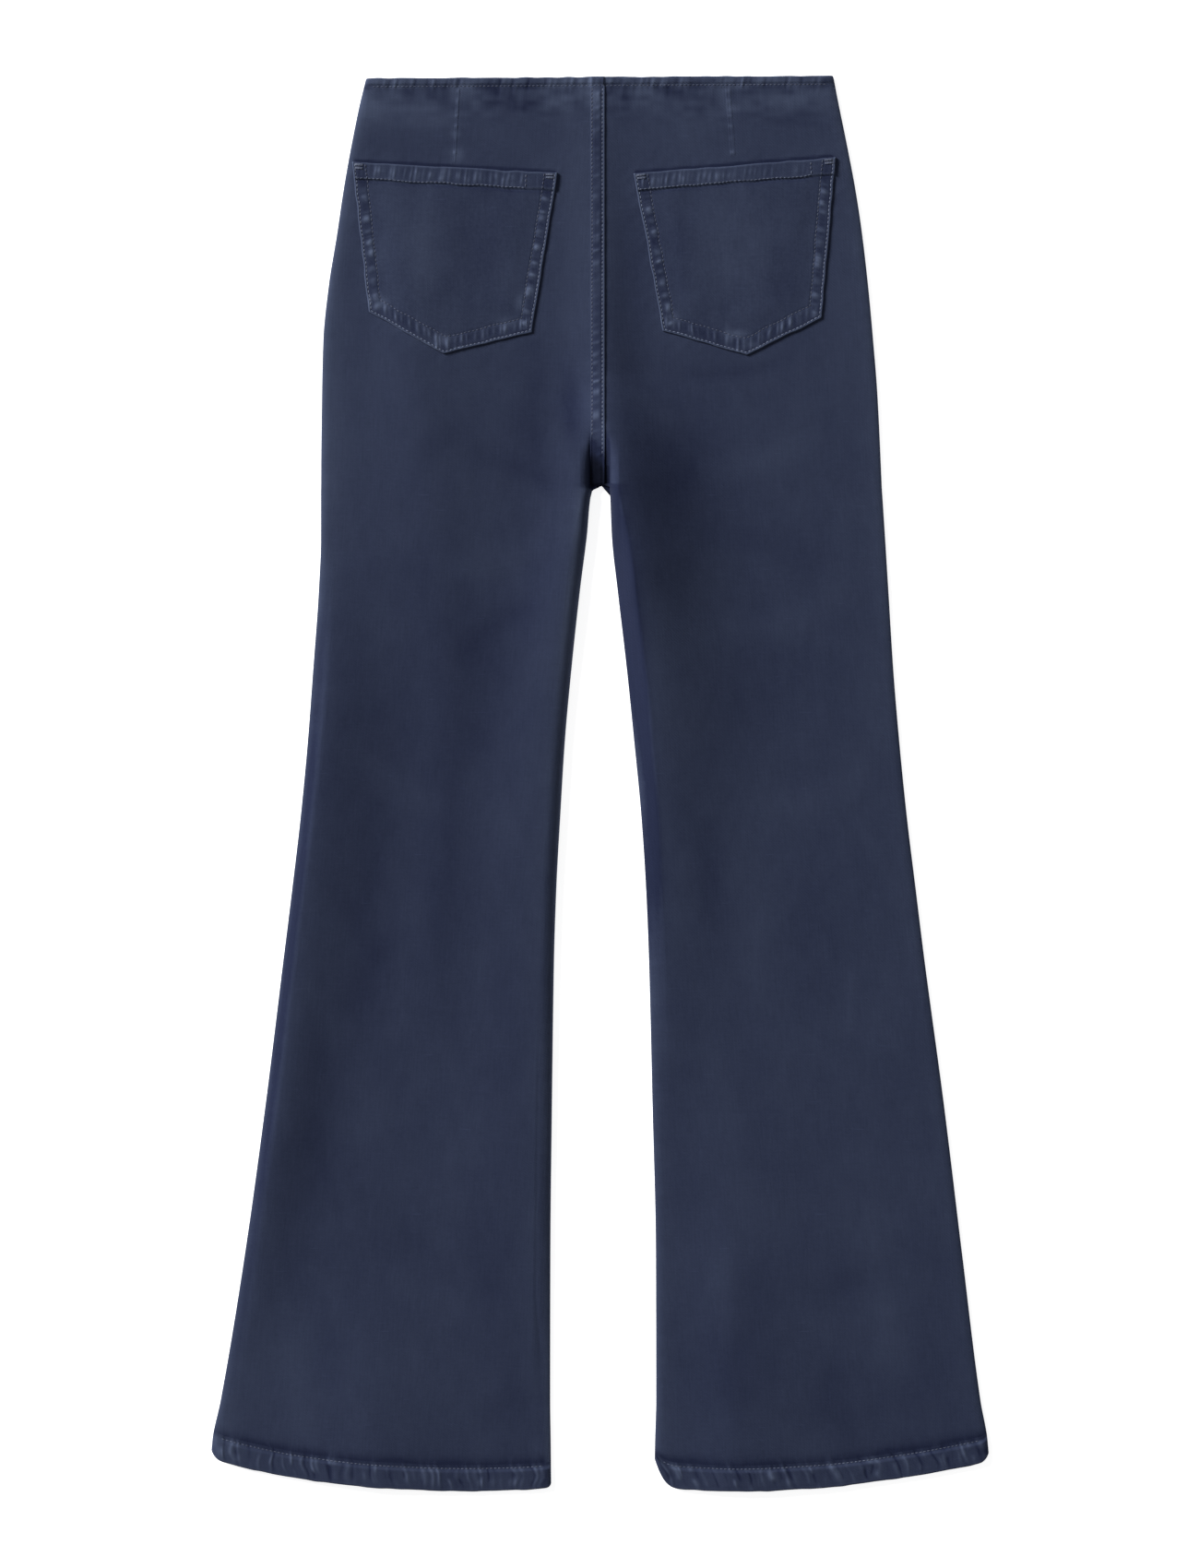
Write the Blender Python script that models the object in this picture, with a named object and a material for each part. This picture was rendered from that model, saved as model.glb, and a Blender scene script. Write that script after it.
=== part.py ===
"""Flared jeans laid flat on their front, with the back side up.

The model is in metres with +Z up. The garment lies along Y with its waist at +Y, its left leg (as it lies) at -X,
and its underside flat on z = 0. Sizes are written in millimetres and turned into metres by MM where they are named.

A place on the garment is given by x and by its drop, the distance down from the waist edge.
"""
import math
from bisect import bisect_right
from collections import namedtuple

import bmesh
import bpy

MM = 0.001

# ---------------------------------------------------------------- driving dimensions
LENGTH = 1074 * MM          # waist edge to the lowest point of the hems
FORK_DROP = 312 * MM        # waist edge to the fork between the legs
WALL = 1.3 * MM             # one layer of stretch denim
SEAM_GAP = 0.3 * MM         # between two pieces that are sewn together
FLAT_HEIGHT = 3.6 * MM      # top of the upper sheet where both sheets lie flat
SIDE_SEAM_HEIGHT = 2.0 * MM  # height of the side seam and inseam in the rolled edges
ROLL = 7 * MM               # how far in the upper sheet is still rolling over at an edge
CURL = 3.5 * MM             # how far in the lower sheet curls up at an edge

WAIST_EDGE_DEPTH = 7.5 * MM
WAIST_EDGE_WALL = 1.8 * MM
WAIST_EDGE_PROUD = 0.5 * MM
WAIST_HALF = 177 * MM
WAIST_TILT = 0.006          # the waist edge lies a little askew, highest at its right end
WAIST_TILT_REACH = 60 * MM

HEM_DEPTH = 18.5 * MM
HEM_WALL = 2.0 * MM
HEM_PROUD = 1.0 * MM
HEM_SWEEP_START = 620 * MM  # from here down the rows bend towards the curved hem
HEM_CORNER_START = 980 * MM
HEM_CORNER_POWER = 5
CORNER_ROUNDNESS = 3

SEAM_STRIP_WALL = 1.2 * MM
SEAM_STRIP_END = 310 * MM
SADDLE_START = 270 * MM     # from here the seam dips between the thighs, down to the fork
SEAM_REACH = 0.6 * MM       # an inner edge no further than this from the middle is the seam's

POCKET_WALL = 1.2 * MM
POCKET_HEM_DEPTH = 13 * MM
POCKET_HEM_PROUD = 0.8 * MM
POCKET_HEM_STEP = 0.6 * MM

# ---------------------------------------------------------------- density of the rows and columns
FORK_ROW_STEP = 2.5 * MM
ROW_GROWTH = 1.36
ROW_STEP_MOST = 44 * MM
ROLL_ANGLES = (12, 36, 62, 90)
CURL_ANGLES = (43, 90)
MIDDLE_STOPS = 12           # between the two rolled edges of a back panel
LOWER_STOP_EVERY = 2        # the flat front panel takes every second one of them
MIDDLE_STOP_POWER = 1.5     # stops crowd towards the inseam, where the folds are
STRIP_STOPS = 2             # stops of each back panel that the felled strip covers
POCKET_COLUMNS = 8
POCKET_ROWS = 6
SHARP_ANGLE = math.radians(35)

DENIM = ("denim_navy", (0.027, 0.034, 0.066, 1.0), 0.88)
DENIM_SEAM = ("denim_seam", (0.036, 0.045, 0.085, 1.0), 0.85)

# ---------------------------------------------------------------- outline, a row per level (millimetres)
Level = namedtuple("Level", "drop left_side left_inseam right_inseam right_side")
OUTLINE = (
    Level(0, -177.5, -0.45, -0.15, 177.0),
    Level(20, -182.3, -0.45, -0.15, 180.9),
    Level(50, -188.2, -0.45, -0.15, 187.0),
    Level(85, -194.4, -0.45, -0.15, 193.7),
    Level(120, -199.6, -0.45, -0.15, 199.0),
    Level(160, -206.0, -0.45, -0.15, 203.6),
    Level(200, -210.0, -0.45, -0.15, 207.3),
    Level(240, -211.0, -0.45, -0.15, 210.5),
    Level(309.5, -211.7, -0.45, -0.15, 213.8),
    Level(312, -211.7, -0.45, 7.2, 213.9),
    Level(315, -211.8, -6.3, 7.5, 214.1),
    Level(350, -211.8, -10.0, 9.0, 216.4),
    Level(390, -213.4, -15.1, 13.3, 218.9),
    Level(450, -217.7, -21.6, 20.3, 222.6),
    Level(505, -221.8, -26.6, 25.9, 227.2),
    Level(560, -227.0, -30.0, 31.2, 232.7),
    Level(615, -233.4, -33.0, 34.8, 239.4),
    Level(670, -240.2, -34.8, 37.1, 246.2),
    Level(780, -253.8, -36.4, 39.8, 261.0),
    Level(895, -269.7, -37.6, 42.4, 275.0),
    Level(1005, -287.9, -37.8, 42.6, 288.8),
    Level(1034, -294.0, -37.4, 41.8, 294.0),
    Level(1074, -297.0, -37.0, 41.0, 297.0),
)

# how far the hem lies above its lowest point; across runs from the inseam, 0, to the side, 1
HemPoint = namedtuple("HemPoint", "across left_rise right_rise")
HEM_LINE = (
    HemPoint(0.00, 2.4, 3.6),
    HemPoint(0.10, 0.7, 1.2),
    HemPoint(0.25, 0.0, 0.0),
    HemPoint(0.50, 2.6, 2.8),
    HemPoint(0.75, 9.8, 10.5),
    HemPoint(0.90, 17.6, 17.2),
    HemPoint(1.00, 24.5, 22.5),
)
# the hem's rounded corners
Corner = namedtuple("Corner", "leg end width rise")
HEM_CORNERS = (
    Corner("left", "inseam", 5, 2.5),
    Corner("left", "side", 10, 6.0),
    Corner("right", "inseam", 20, 21.0),
    Corner("right", "side", 9, 6.0),
)

# how far from the seam the felled strip over it ends, and the floor of the dip before the fork
SeamFloor = namedtuple("SeamFloor", "strip foot")
SEAM_FLOOR = {
    "left": SeamFloor(6.85 * MM, 7.6 * MM),
    "right": SeamFloor(3.95 * MM, 7.5 * MM),
}

# largest folds, a row per section of each (millimetres): where its crest runs, how high it stands over the flat sheet,
# and how far it slopes away to the west (-x) and to the east
Crest = namedtuple("Crest", "drop x height west east")
FOLDS = {
    "seat and right thigh": (
        Crest(8, 1, 0.4, 60, 30),
        Crest(120, 2, 2.2, 66, 34),
        Crest(222, 3, 6.5, 66, 60),
        Crest(250, 4, 11.0, 60, 96),
        Crest(280, 8, 16.5, 34, 116),
        Crest(306, 13, 19.0, 26, 124),
        Crest(334, 18, 19.5, 26, 128),
        Crest(362, 24, 19.5, 26, 130),
        Crest(397, 28, 17.5, 26, 132),
        Crest(432, 33, 15.0, 26, 142),
        Crest(474, 38, 12.5, 26, 150),
        Crest(516, 42, 9.5, 26, 146),
        Crest(572, 46, 6.5, 26, 136),
        Crest(642, 49, 4.0, 26, 128),
        Crest(720, 52, 1.6, 26, 110),
        Crest(800, 54, 0.0, 26, 100),
    ),
    "left thigh": (
        Crest(240, -8, 0.0, 54, 28),
        Crest(290, -12, 5.5, 56, 20),
        Crest(334, -16, 7.0, 58, 20),
        Crest(397, -26, 8.0, 66, 20),
        Crest(474, -35, 6.6, 80, 20),
        Crest(572, -42, 6.0, 120, 20),
        Crest(642, -45, 5.0, 130, 20),
        Crest(782, -49, 4.2, 130, 20),
        Crest(922, -51, 2.4, 130, 20),
        Crest(1010, -52, 0.0, 130, 20),
    ),
    "left side": (
        Crest(360, -202, 0.0, 24, 80),
        Crest(432, -204, 3.6, 24, 96),
        Crest(474, -207, 5.2, 24, 104),
        Crest(516, -211, 6.5, 24, 110),
        Crest(572, -217, 7.0, 24, 118),
        Crest(642, -226, 6.4, 24, 104),
        Crest(782, -243, 6.0, 24, 82),
        Crest(852, -253, 4.0, 24, 70),
        Crest(922, -262, 2.0, 24, 60),
        Crest(1010, -276, 0.0, 24, 54),
    ),
    "left seat": (
        Crest(60, -150, 0.0, 60, 80),
        Crest(250, -137, 3.5, 84, 104),
        Crest(397, -122, 1.9, 104, 76),
        Crest(516, -118, 1.5, 70, 62),
        Crest(642, -125, 1.4, 70, 58),
        Crest(760, -130, 0.0, 70, 58),
    ),
    "right hem": (
        Crest(720, 100, 0.0, 80, 170),
        Crest(850, 98, 1.5, 76, 190),
        Crest(922, 102, 3.4, 78, 200),
        Crest(1020, 104, 3.8, 80, 210),
        Crest(1074, 105, 3.0, 80, 210),
    ),
    "left hem": (
        Crest(900, -175, 0.0, 120, 140),
        Crest(1020, -172, 3.2, 124, 150),
        Crest(1074, -170, 2.8, 124, 150),
    ),
}

# patch pockets, a row per corner (millimetres)
PocketCorner = namedtuple("PocketCorner", "place left_x left_drop right_x right_drop")
POCKET = {row.place: row for row in (
    PocketCorner("mouth_inner", -31.9, 74.2, 25.6, 74.6),
    PocketCorner("mouth_outer", -188.0, 65.8, 178.6, 62.0),
    PocketCorner("base_outer", -175.4, 179.6, 168.4, 183.8),
    PocketCorner("point", -118.3, 211.4, 111.0, 212.4),
    PocketCorner("base_inner", -51.5, 194.6, 48.0, 193.9),
)}
POCKET_POINT_SHARE = {"left": 0.50, "right": 0.52}

SIGN = {"left": -1, "right": 1}


# ---------------------------------------------------------------- curves through the tables
def smooth(share):
    """Ease from 0 to 1 with level ends."""
    share = min(max(share, 0.0), 1.0)
    return share * share * (3 - 2 * share)


def slope_off(share):
    """Side of a fold, from 0 at its foot to 1 on the crest, steepest near the crest."""
    return smooth(max(share, 0.0) ** 2)


def through(xs, ys, x):
    """Value at x of a smooth curve through the points, without overshoot."""
    if x <= xs[0]:
        return ys[0]
    if x >= xs[-1]:
        return ys[-1]
    i = bisect_right(xs, x) - 1
    steps = [xs[j + 1] - xs[j] for j in range(len(xs) - 1)]
    slopes = [(ys[j + 1] - ys[j]) / steps[j] for j in range(len(xs) - 1)]

    def tangent(j):
        if j == 0:
            return slopes[0]
        if j == len(xs) - 1:
            return slopes[-1]
        if slopes[j - 1] * slopes[j] <= 0:
            return 0.0
        return 2 * slopes[j - 1] * slopes[j] / (slopes[j - 1] + slopes[j])

    t = (x - xs[i]) / steps[i]
    h = steps[i]
    return ((1 + 2 * t) * (1 - t) ** 2 * ys[i] + t * (1 - t) ** 2 * h * tangent(i)
            + t * t * (3 - 2 * t) * ys[i + 1] + t * t * (t - 1) * h * tangent(i + 1))


def outline(edge, drop):
    """x of one of the four edges at a drop."""
    return through([row.drop * MM for row in OUTLINE], [getattr(row, edge) * MM for row in OUTLINE], drop)


def hem_rise(leg, across):
    """How far the hem's smooth line lies above its lowest point."""
    return through([row.across for row in HEM_LINE], [getattr(row, f"{leg}_rise") * MM for row in HEM_LINE], across)


def corner_rise(leg, from_inseam, from_side):
    """Extra rise in the hem's rounded corners."""
    rise = 0.0
    for corner in HEM_CORNERS:
        away = (from_inseam if corner.end == "inseam" else from_side) / (corner.width * MM)
        if corner.leg == leg and away < 1:
            rise += corner.rise * MM * (1 - max(away, 0.0)) ** CORNER_ROUNDNESS
    return rise


def fold_height(x, drop):
    """Height that the folds add to the flat upper sheet."""
    total = 0.0
    for crests in FOLDS.values():
        drops = [row.drop * MM for row in crests]
        if not drops[0] <= drop <= drops[-1]:
            continue
        crest, height, west, east = (through(drops, [getattr(row, column) * MM for row in crests], drop)
                                     for column in ("x", "height", "west", "east"))
        total += height * slope_off(1 - abs(x - crest) / (west if x < crest else east))
    return total


def sheet_height(x, drop):
    """Top of the upper sheet, away from its edges."""
    return FLAT_HEIGHT + fold_height(x, drop)


# ---------------------------------------------------------------- rows down the garment
class Row:
    """One row across a leg, from its inner edge (seam or inseam) to its side."""

    def __init__(self, leg, drop):
        self.leg = leg
        self.drop = drop
        self.sign = SIGN[leg]
        self.sweep = smooth((drop - HEM_SWEEP_START) / (LENGTH - HEM_SWEEP_START))
        corner_share = (drop - HEM_CORNER_START) / (LENGTH - HEM_CORNER_START)
        self.corner = max(corner_share, 0.0) ** HEM_CORNER_POWER
        self.inner_x = outline(f"{leg}_inseam", drop - self.rise_at_edge(0.0))
        self.side_x = outline(f"{leg}_side", drop - self.rise_at_edge(1.0))
        self.width = abs(self.side_x - self.inner_x)
        # beside the seam the sheet dips towards the fork, and below the fork it rolls over as an inseam
        self.at_seam = abs(self.inner_x) < SEAM_REACH
        self.floor = SEAM_FLOOR[leg].foot if self.at_seam else 0.0
        self.dip = smooth((drop - SADDLE_START) / (FORK_DROP - SADDLE_START)) if self.at_seam else 1.0

    def rise_at_edge(self, across):
        """Rise of the row's end, its corner included: across is 0 at the inseam and 1 at the side."""
        corner = corner_rise(self.leg, across * LENGTH, (1 - across) * LENGTH)
        return hem_rise(self.leg, across) * self.sweep + corner * self.corner

    def drop_at(self, inset):
        """Drop of the point that lies inset from the inner edge."""
        across = inset / self.width
        rise = hem_rise(self.leg, across) * self.sweep
        rise += corner_rise(self.leg, inset, self.width - inset) * self.corner
        askew = WAIST_TILT * (WAIST_HALF - self.x_at(inset)) * max(1 - self.drop / WAIST_TILT_REACH, 0.0)
        return self.drop - rise + askew

    def x_at(self, inset):
        return self.inner_x + self.sign * inset

    def height_at(self, inset):
        """Top of the upper sheet at an inset, its rolled edges included."""
        height = sheet_height(self.x_at(inset), self.drop_at(inset))
        seam_base = SIDE_SEAM_HEIGHT + (WALL if self.at_seam else 0.0)
        for from_edge, share, base, shoulder in (
                (max(inset - self.floor, 0.0), self.dip, seam_base, self.floor + ROLL),
                (self.width - inset, 1.0, SIDE_SEAM_HEIGHT, self.width - ROLL)):
            if from_edge < ROLL:
                full = sheet_height(self.x_at(shoulder), self.drop_at(shoulder))
                arc = math.sqrt(max(1 - (1 - from_edge / ROLL) ** 2, 0.0))
                height += (base + (full - base) * arc - height) * share
        return height


def panel_rows():
    """Drops of a panel's rows, close together at the fork."""
    top = WAIST_EDGE_DEPTH + SEAM_GAP
    bottom = LENGTH - HEM_DEPTH - SEAM_GAP
    rows = [FORK_DROP]
    for end, direction in ((top, -1), (bottom, 1)):
        drop, step = FORK_DROP, FORK_ROW_STEP
        while abs(end - drop) > 1.5 * step:
            drop += direction * step
            rows.append(drop)
            step = min(step * ROW_GROWTH, ROW_STEP_MOST)
        rows.append(end)
    return sorted(rows)


def middle_insets(row, every=1):
    """Stops between a row's two rolled edges, as insets from its inner edge."""
    span = row.width - row.floor - 2 * ROLL
    return [row.floor + ROLL + span * (k / MIDDLE_STOPS) ** MIDDLE_STOP_POWER
            for k in range(every, MIDDLE_STOPS, every)]


def arc_stops(radius, angles):
    """Stops of a rolled edge: how far in each lies, and its angle from the rim."""
    return [(radius * (1 - math.cos(math.radians(a))), math.radians(a)) for a in angles]


def inner_stops(row, radius, angles):
    """Stops at a row's inner edge: level ones beside the seam, or those of a rolled inseam."""
    arcs = arc_stops(radius, angles)
    if not row.at_seam:
        return [(0.0, 0.0)] + arcs
    strip, foot = SEAM_FLOOR[row.leg]
    insets = [0.0, strip, foot] + [foot + inset for inset, _ in arcs[STRIP_STOPS:]]
    return [(inset, math.pi / 2) for inset in insets]


def panel_section(row, radius, angles, middle, outer_height, thickness_sign):
    """Outer and inner face of a panel along a row, a rolled edge at its side.

    outer_height gives the outer face from an inset, an angle from the rim and the wall's upright part.
    """
    stops = inner_stops(row, radius, angles)
    stops += [(inset, math.pi / 2) for inset in middle]
    stops += [(row.width - inset, math.pi - angle) for inset, angle in reversed([(0.0, 0.0)] + arc_stops(radius, angles))]
    outer, inner = [], []
    for inset, angle in stops:
        upright = WALL * math.sin(angle)
        z = outer_height(inset, angle, upright)
        within = inset + WALL * math.cos(angle)
        outer.append((row.x_at(inset), -row.drop_at(inset), z))
        inner.append((row.x_at(within), -row.drop_at(within), z + thickness_sign * upright))
    return outer, inner


def upper_section(row):
    """Section of the back panel."""
    def top(inset, angle, upright):
        return max(row.height_at(inset), SIDE_SEAM_HEIGHT + upright)

    return panel_section(row, ROLL, ROLL_ANGLES, middle_insets(row), top, -1)


def lower_section(row):
    """Section of the front panel, flat underneath."""
    rim = SIDE_SEAM_HEIGHT - SEAM_GAP

    def underside(inset, angle, upright):
        return min(rim * (1 - math.sin(angle)), rim - upright)

    return panel_section(row, CURL, CURL_ANGLES, middle_insets(row, LOWER_STOP_EVERY), underside, 1)


def band_section(rows, proud, wall):
    """Outer and inner ring of a turned edge that goes round both sheets.

    rows holds one leg's row for a hem, or the left and the right leg's row for the waist.
    """
    ends = [row.side_x for row in rows] + [row.inner_x for row in rows]
    left, right = min(ends), max(ends)
    arcs = [(0.0, 0.0)] + arc_stops(ROLL, ROLL_ANGLES)
    upper = [(left + inset, angle) for inset, angle in arcs]
    upper += [(x, math.pi / 2) for x in sorted(row.x_at(inset) for row in rows for inset in middle_insets(row))]
    upper += [(right - inset, math.pi - angle) for inset, angle in reversed(arcs)]
    under = [(x, 2 * math.pi - angle) for x, angle in reversed(upper[1:-1])]
    middle = (FLAT_HEIGHT + proud) / 2
    outer, inner = [], []
    for x, angle in upper + under:
        row = min(rows, key=lambda r: abs(x - (r.inner_x + r.side_x) / 2))
        drop = row.drop_at((x - row.inner_x) * row.sign)
        top = sheet_height(min(max(x, left + ROLL), right - ROLL), drop) + proud
        reach = top - middle if angle <= math.pi else middle
        z = middle + reach * math.sin(angle)
        within = x + wall * math.cos(angle)
        outer.append((x, -drop, z))
        inner.append((within, -row.drop_at((within - row.inner_x) * row.sign), z - wall * math.sin(angle)))
    return outer, inner


# ---------------------------------------------------------------- solids
def material(spec):
    """Plain Principled material, made once."""
    name, colour, roughness = spec
    found = bpy.data.materials.get(name)
    if found:
        return found
    made = bpy.data.materials.new(name)
    made.use_nodes = True
    shader = made.node_tree.nodes["Principled BSDF"]
    shader.inputs["Base Color"].default_value = colour
    shader.inputs["Roughness"].default_value = roughness
    shader.inputs["Metallic"].default_value = 0.0
    made.diffuse_color = colour
    return made


def wall_solid(name, sections, spec, collection, ring=False):
    """Loft a wall through sections of an outer and an inner face.

    A ring's sections close on themselves, and any other wall gets a rim along all four edges.
    """
    mesh = bpy.data.meshes.new(name)
    bm = bmesh.new()
    faces = [[[bm.verts.new(place(point)) for point in section[side]] for section in sections] for side in (0, 1)]
    outer, inner = faces
    rows, columns = len(outer), len(outer[0])
    across = range(columns if ring else columns - 1)
    for i in range(rows - 1):
        for j in across:
            k = (j + 1) % columns
            bm.faces.new((outer[i][j], outer[i][k], outer[i + 1][k], outer[i + 1][j]))
            bm.faces.new((inner[i][j], inner[i + 1][j], inner[i + 1][k], inner[i][k]))
        if not ring:
            for j in (0, columns - 1):
                bm.faces.new((outer[i][j], outer[i + 1][j], inner[i + 1][j], inner[i][j]))
    for i in (0, rows - 1):
        for j in across:
            k = (j + 1) % columns
            bm.faces.new((outer[i][j], outer[i][k], inner[i][k], inner[i][j]))
    bmesh.ops.recalc_face_normals(bm, faces=bm.faces)
    bm.to_mesh(mesh)
    bm.free()
    mesh.materials.append(material(spec))
    mesh.shade_smooth()
    mesh.set_sharp_from_angle(angle=SHARP_ANGLE)
    solid = bpy.data.objects.new(name, mesh)
    collection.objects.link(solid)
    return solid


def place(point):
    """Move a point (x, -drop, z) so that the origin is under the middle of the garment's box."""
    x, minus_drop, z = point
    return (x, minus_drop + LENGTH / 2, z)


def leg_panels(leg, collection):
    """Back panel and front panel of one leg, waist to hem; every section runs along +x, as the pieces on it do."""
    rows = [Row(leg, drop) for drop in panel_rows()]
    for side, section_of in (("back", upper_section), ("front", lower_section)):
        sections = [tuple(face[::SIGN[leg]] for face in section_of(row)) for row in rows]
        wall_solid(f"{side}_{leg}", sections, DENIM, collection)


def hem(leg, collection):
    """Turned hem: three layers in a flattened ring."""
    drops = (LENGTH - HEM_DEPTH, LENGTH - HEM_DEPTH / 2, LENGTH)
    sections = [band_section([Row(leg, drop)], HEM_PROUD, HEM_WALL) for drop in drops]
    wall_solid(f"hem_{leg}", sections, DENIM_SEAM, collection, ring=True)


def waist_edge(collection):
    """Turned waist edge, a flattened ring round both legs' panels."""
    sections = [band_section([Row("left", drop), Row("right", drop)], WAIST_EDGE_PROUD, WAIST_EDGE_WALL)
                for drop in (0.0, WAIST_EDGE_DEPTH)]
    wall_solid("waist_edge", sections, DENIM_SEAM, collection, ring=True)


def centre_back_seam(collection):
    """Felled strip over the seam, made from the two panels' points and moved out."""
    sections = []
    for drop in (drop for drop in panel_rows() if drop < SEAM_STRIP_END):
        left, right = (upper_section(Row(leg, drop))[0][:STRIP_STOPS] for leg in ("left", "right"))
        under = [(x, y, z + SEAM_GAP) for x, y, z in left[::-1] + right]
        over = [(x, y, z + SEAM_STRIP_WALL) for x, y, z in under]
        sections.append((over, under))
    wall_solid("centre_back_seam", sections, DENIM_SEAM, collection)


def patch_point(leg, across, down):
    """x and drop of a place on a pocket; across runs from its inner side, down from its mouth."""
    def corner(place_name):
        row = POCKET[place_name]
        return getattr(row, f"{leg}_x") * MM, getattr(row, f"{leg}_drop") * MM

    def between(a, b, share):
        return tuple(p + (q - p) * share for p, q in zip(a, b))

    mouth = between(corner("mouth_inner"), corner("mouth_outer"), across)
    point_share = POCKET_POINT_SHARE[leg]
    if across < point_share:
        base = between(corner("base_inner"), corner("point"), across / point_share)
    else:
        base = between(corner("point"), corner("base_outer"), (across - point_share) / (1 - point_share))
    return between(mouth, base, down)


def pocket(leg, collection):
    """Five-sided patch with a raised hem at its mouth, made from the panel's surface and moved out."""
    depth = (POCKET["base_inner"].left_drop - POCKET["mouth_inner"].left_drop) * MM
    hem_share = POCKET_HEM_DEPTH / depth
    below_hem = hem_share + POCKET_HEM_STEP / depth
    downs = [0.0, hem_share / 2, hem_share]
    downs += [below_hem + (1 - below_hem) * k / POCKET_ROWS for k in range(POCKET_ROWS + 1)]
    half = POCKET_COLUMNS // 2
    share = POCKET_POINT_SHARE[leg]
    acrosses = [share * k / half for k in range(half)] + [share + (1 - share) * k / half for k in range(half + 1)]
    sections = []
    for down in downs:
        thickness = POCKET_WALL + (POCKET_HEM_PROUD if down <= hem_share else 0.0)
        over, under = [], []
        for across in acrosses:
            x, drop = patch_point(leg, across, down)
            row = Row(leg, drop)
            z = row.height_at((x - row.inner_x) * row.sign) + SEAM_GAP
            under.append((x, -drop, z))
            over.append((x, -drop, z + thickness))
        sections.append((over, under))
    wall_solid(f"pocket_{leg}", sections, DENIM, collection)


def build():
    for old in list(bpy.data.objects):
        bpy.data.objects.remove(old)
    collection = bpy.data.collections.new("flared_jeans")
    bpy.context.scene.collection.children.link(collection)
    waist_edge(collection)
    centre_back_seam(collection)
    for leg in ("left", "right"):
        leg_panels(leg, collection)
        hem(leg, collection)
        pocket(leg, collection)


build()
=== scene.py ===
"""Looks of the flared jeans: denim shells, sewing and finishes, laid over the solids of the part.

Metres, +Z up. The garment lies along Y with its waist at +Y, its back side up, and its left leg (as it lies) at -X.
A place on the cloth is given by x and by its drop, the distance down from the waist edge. Sizes in tables are in
millimetres and are turned into metres by MM.
"""
from __future__ import annotations

import logging
import math
from collections.abc import Callable, Sequence
from dataclasses import dataclass, field
from enum import Enum
from typing import ClassVar, NamedTuple, TypeVar

import bpy
import numpy as np
from mathutils import Matrix, Vector

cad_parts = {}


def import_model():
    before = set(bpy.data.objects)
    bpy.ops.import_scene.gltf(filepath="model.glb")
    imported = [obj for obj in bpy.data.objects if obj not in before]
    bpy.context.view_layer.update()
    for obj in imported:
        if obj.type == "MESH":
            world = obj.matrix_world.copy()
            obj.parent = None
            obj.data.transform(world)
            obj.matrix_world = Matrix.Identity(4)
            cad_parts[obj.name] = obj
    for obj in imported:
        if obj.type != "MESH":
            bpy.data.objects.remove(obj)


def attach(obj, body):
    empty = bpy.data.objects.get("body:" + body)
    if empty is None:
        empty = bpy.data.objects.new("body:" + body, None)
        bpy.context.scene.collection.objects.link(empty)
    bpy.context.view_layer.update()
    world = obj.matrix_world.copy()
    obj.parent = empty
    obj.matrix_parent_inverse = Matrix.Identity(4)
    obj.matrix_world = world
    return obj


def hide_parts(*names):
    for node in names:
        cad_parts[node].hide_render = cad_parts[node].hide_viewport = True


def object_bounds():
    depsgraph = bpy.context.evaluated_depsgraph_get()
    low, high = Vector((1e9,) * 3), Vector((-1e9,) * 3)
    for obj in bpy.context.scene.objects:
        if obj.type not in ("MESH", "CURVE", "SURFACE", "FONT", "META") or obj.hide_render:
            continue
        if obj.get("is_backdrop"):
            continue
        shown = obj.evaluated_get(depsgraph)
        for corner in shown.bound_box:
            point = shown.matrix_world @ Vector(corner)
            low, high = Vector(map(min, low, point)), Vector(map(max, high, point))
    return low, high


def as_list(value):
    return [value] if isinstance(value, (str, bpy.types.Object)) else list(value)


Array = np.ndarray
Colour = tuple[float, float, float, float]
Surface = Callable[[Array, Array], Array]
Waver = Callable[[Array, Array], tuple[Array, Array]]
Row = TypeVar("Row")
Piece = bpy.types.Object
Material = bpy.types.Material
Value = bpy.types.NodeSocket
Sockets = bpy.types.bpy_prop_collection
log = logging.getLogger("flared_jeans")

MM = 0.001
LENGTH = 1074 * MM           # waist edge to the lowest point of the hems
FORK_DROP = 312 * MM
WALL = 1.3 * MM              # one layer of stretch denim
SEAM_GAP = 0.3 * MM          # between pieces that are sewn together
FLAT_HEIGHT = 3.6 * MM       # top of the upper sheet where no fold lifts it
SIDE_SEAM_HEIGHT = 2.0 * MM
ROLL = 7 * MM                # how far in the upper sheet is still rolling over at an edge
WIDE_ROLL = 11 * MM          # the same beside the left leg's long fold
FORK_EASE = 60 * MM          # over which the inseams' roll changes below the fork
CURL = 3.5 * MM              # how far in the lower sheet curls up at an edge
WAIST_EDGE_DEPTH = 7.5 * MM
WAIST_HALF = 177 * MM
WAIST_TILT = 0.006           # the waist edge drops to the left by this much for each metre across
WAIST_TILT_REACH = 60 * MM
HEM_DEPTH = 18.5 * MM
PANEL_TOP = WAIST_EDGE_DEPTH + SEAM_GAP
PANEL_BOTTOM = LENGTH - HEM_DEPTH - SEAM_GAP
FORK_ROWS = np.array([309.5, 312, 314.5]) * MM   # the last row with a seam, the fork, the first of two legs
HEM_SWEEP_START = 620 * MM   # from here down the rows bend towards the hem's curve
HEM_CORNER_START = 980 * MM
HEM_CORNER_POWER = 5
CORNER_ROUNDNESS = 3
SADDLE_START = 270 * MM      # from here down the seat dips towards the fork
SEAM_REACH = 0.6 * MM        # a row that begins nearer to x = 0 than this begins at the centre seam
STRIP_LEFT, STRIP_RIGHT = -7.3 * MM, 3.8 * MM
STRIP_START, STRIP_END = 7.8 * MM, 310 * MM
STRIP_THICKNESS = 1.0 * MM
POCKET_THICKNESS = 1.2 * MM
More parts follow.
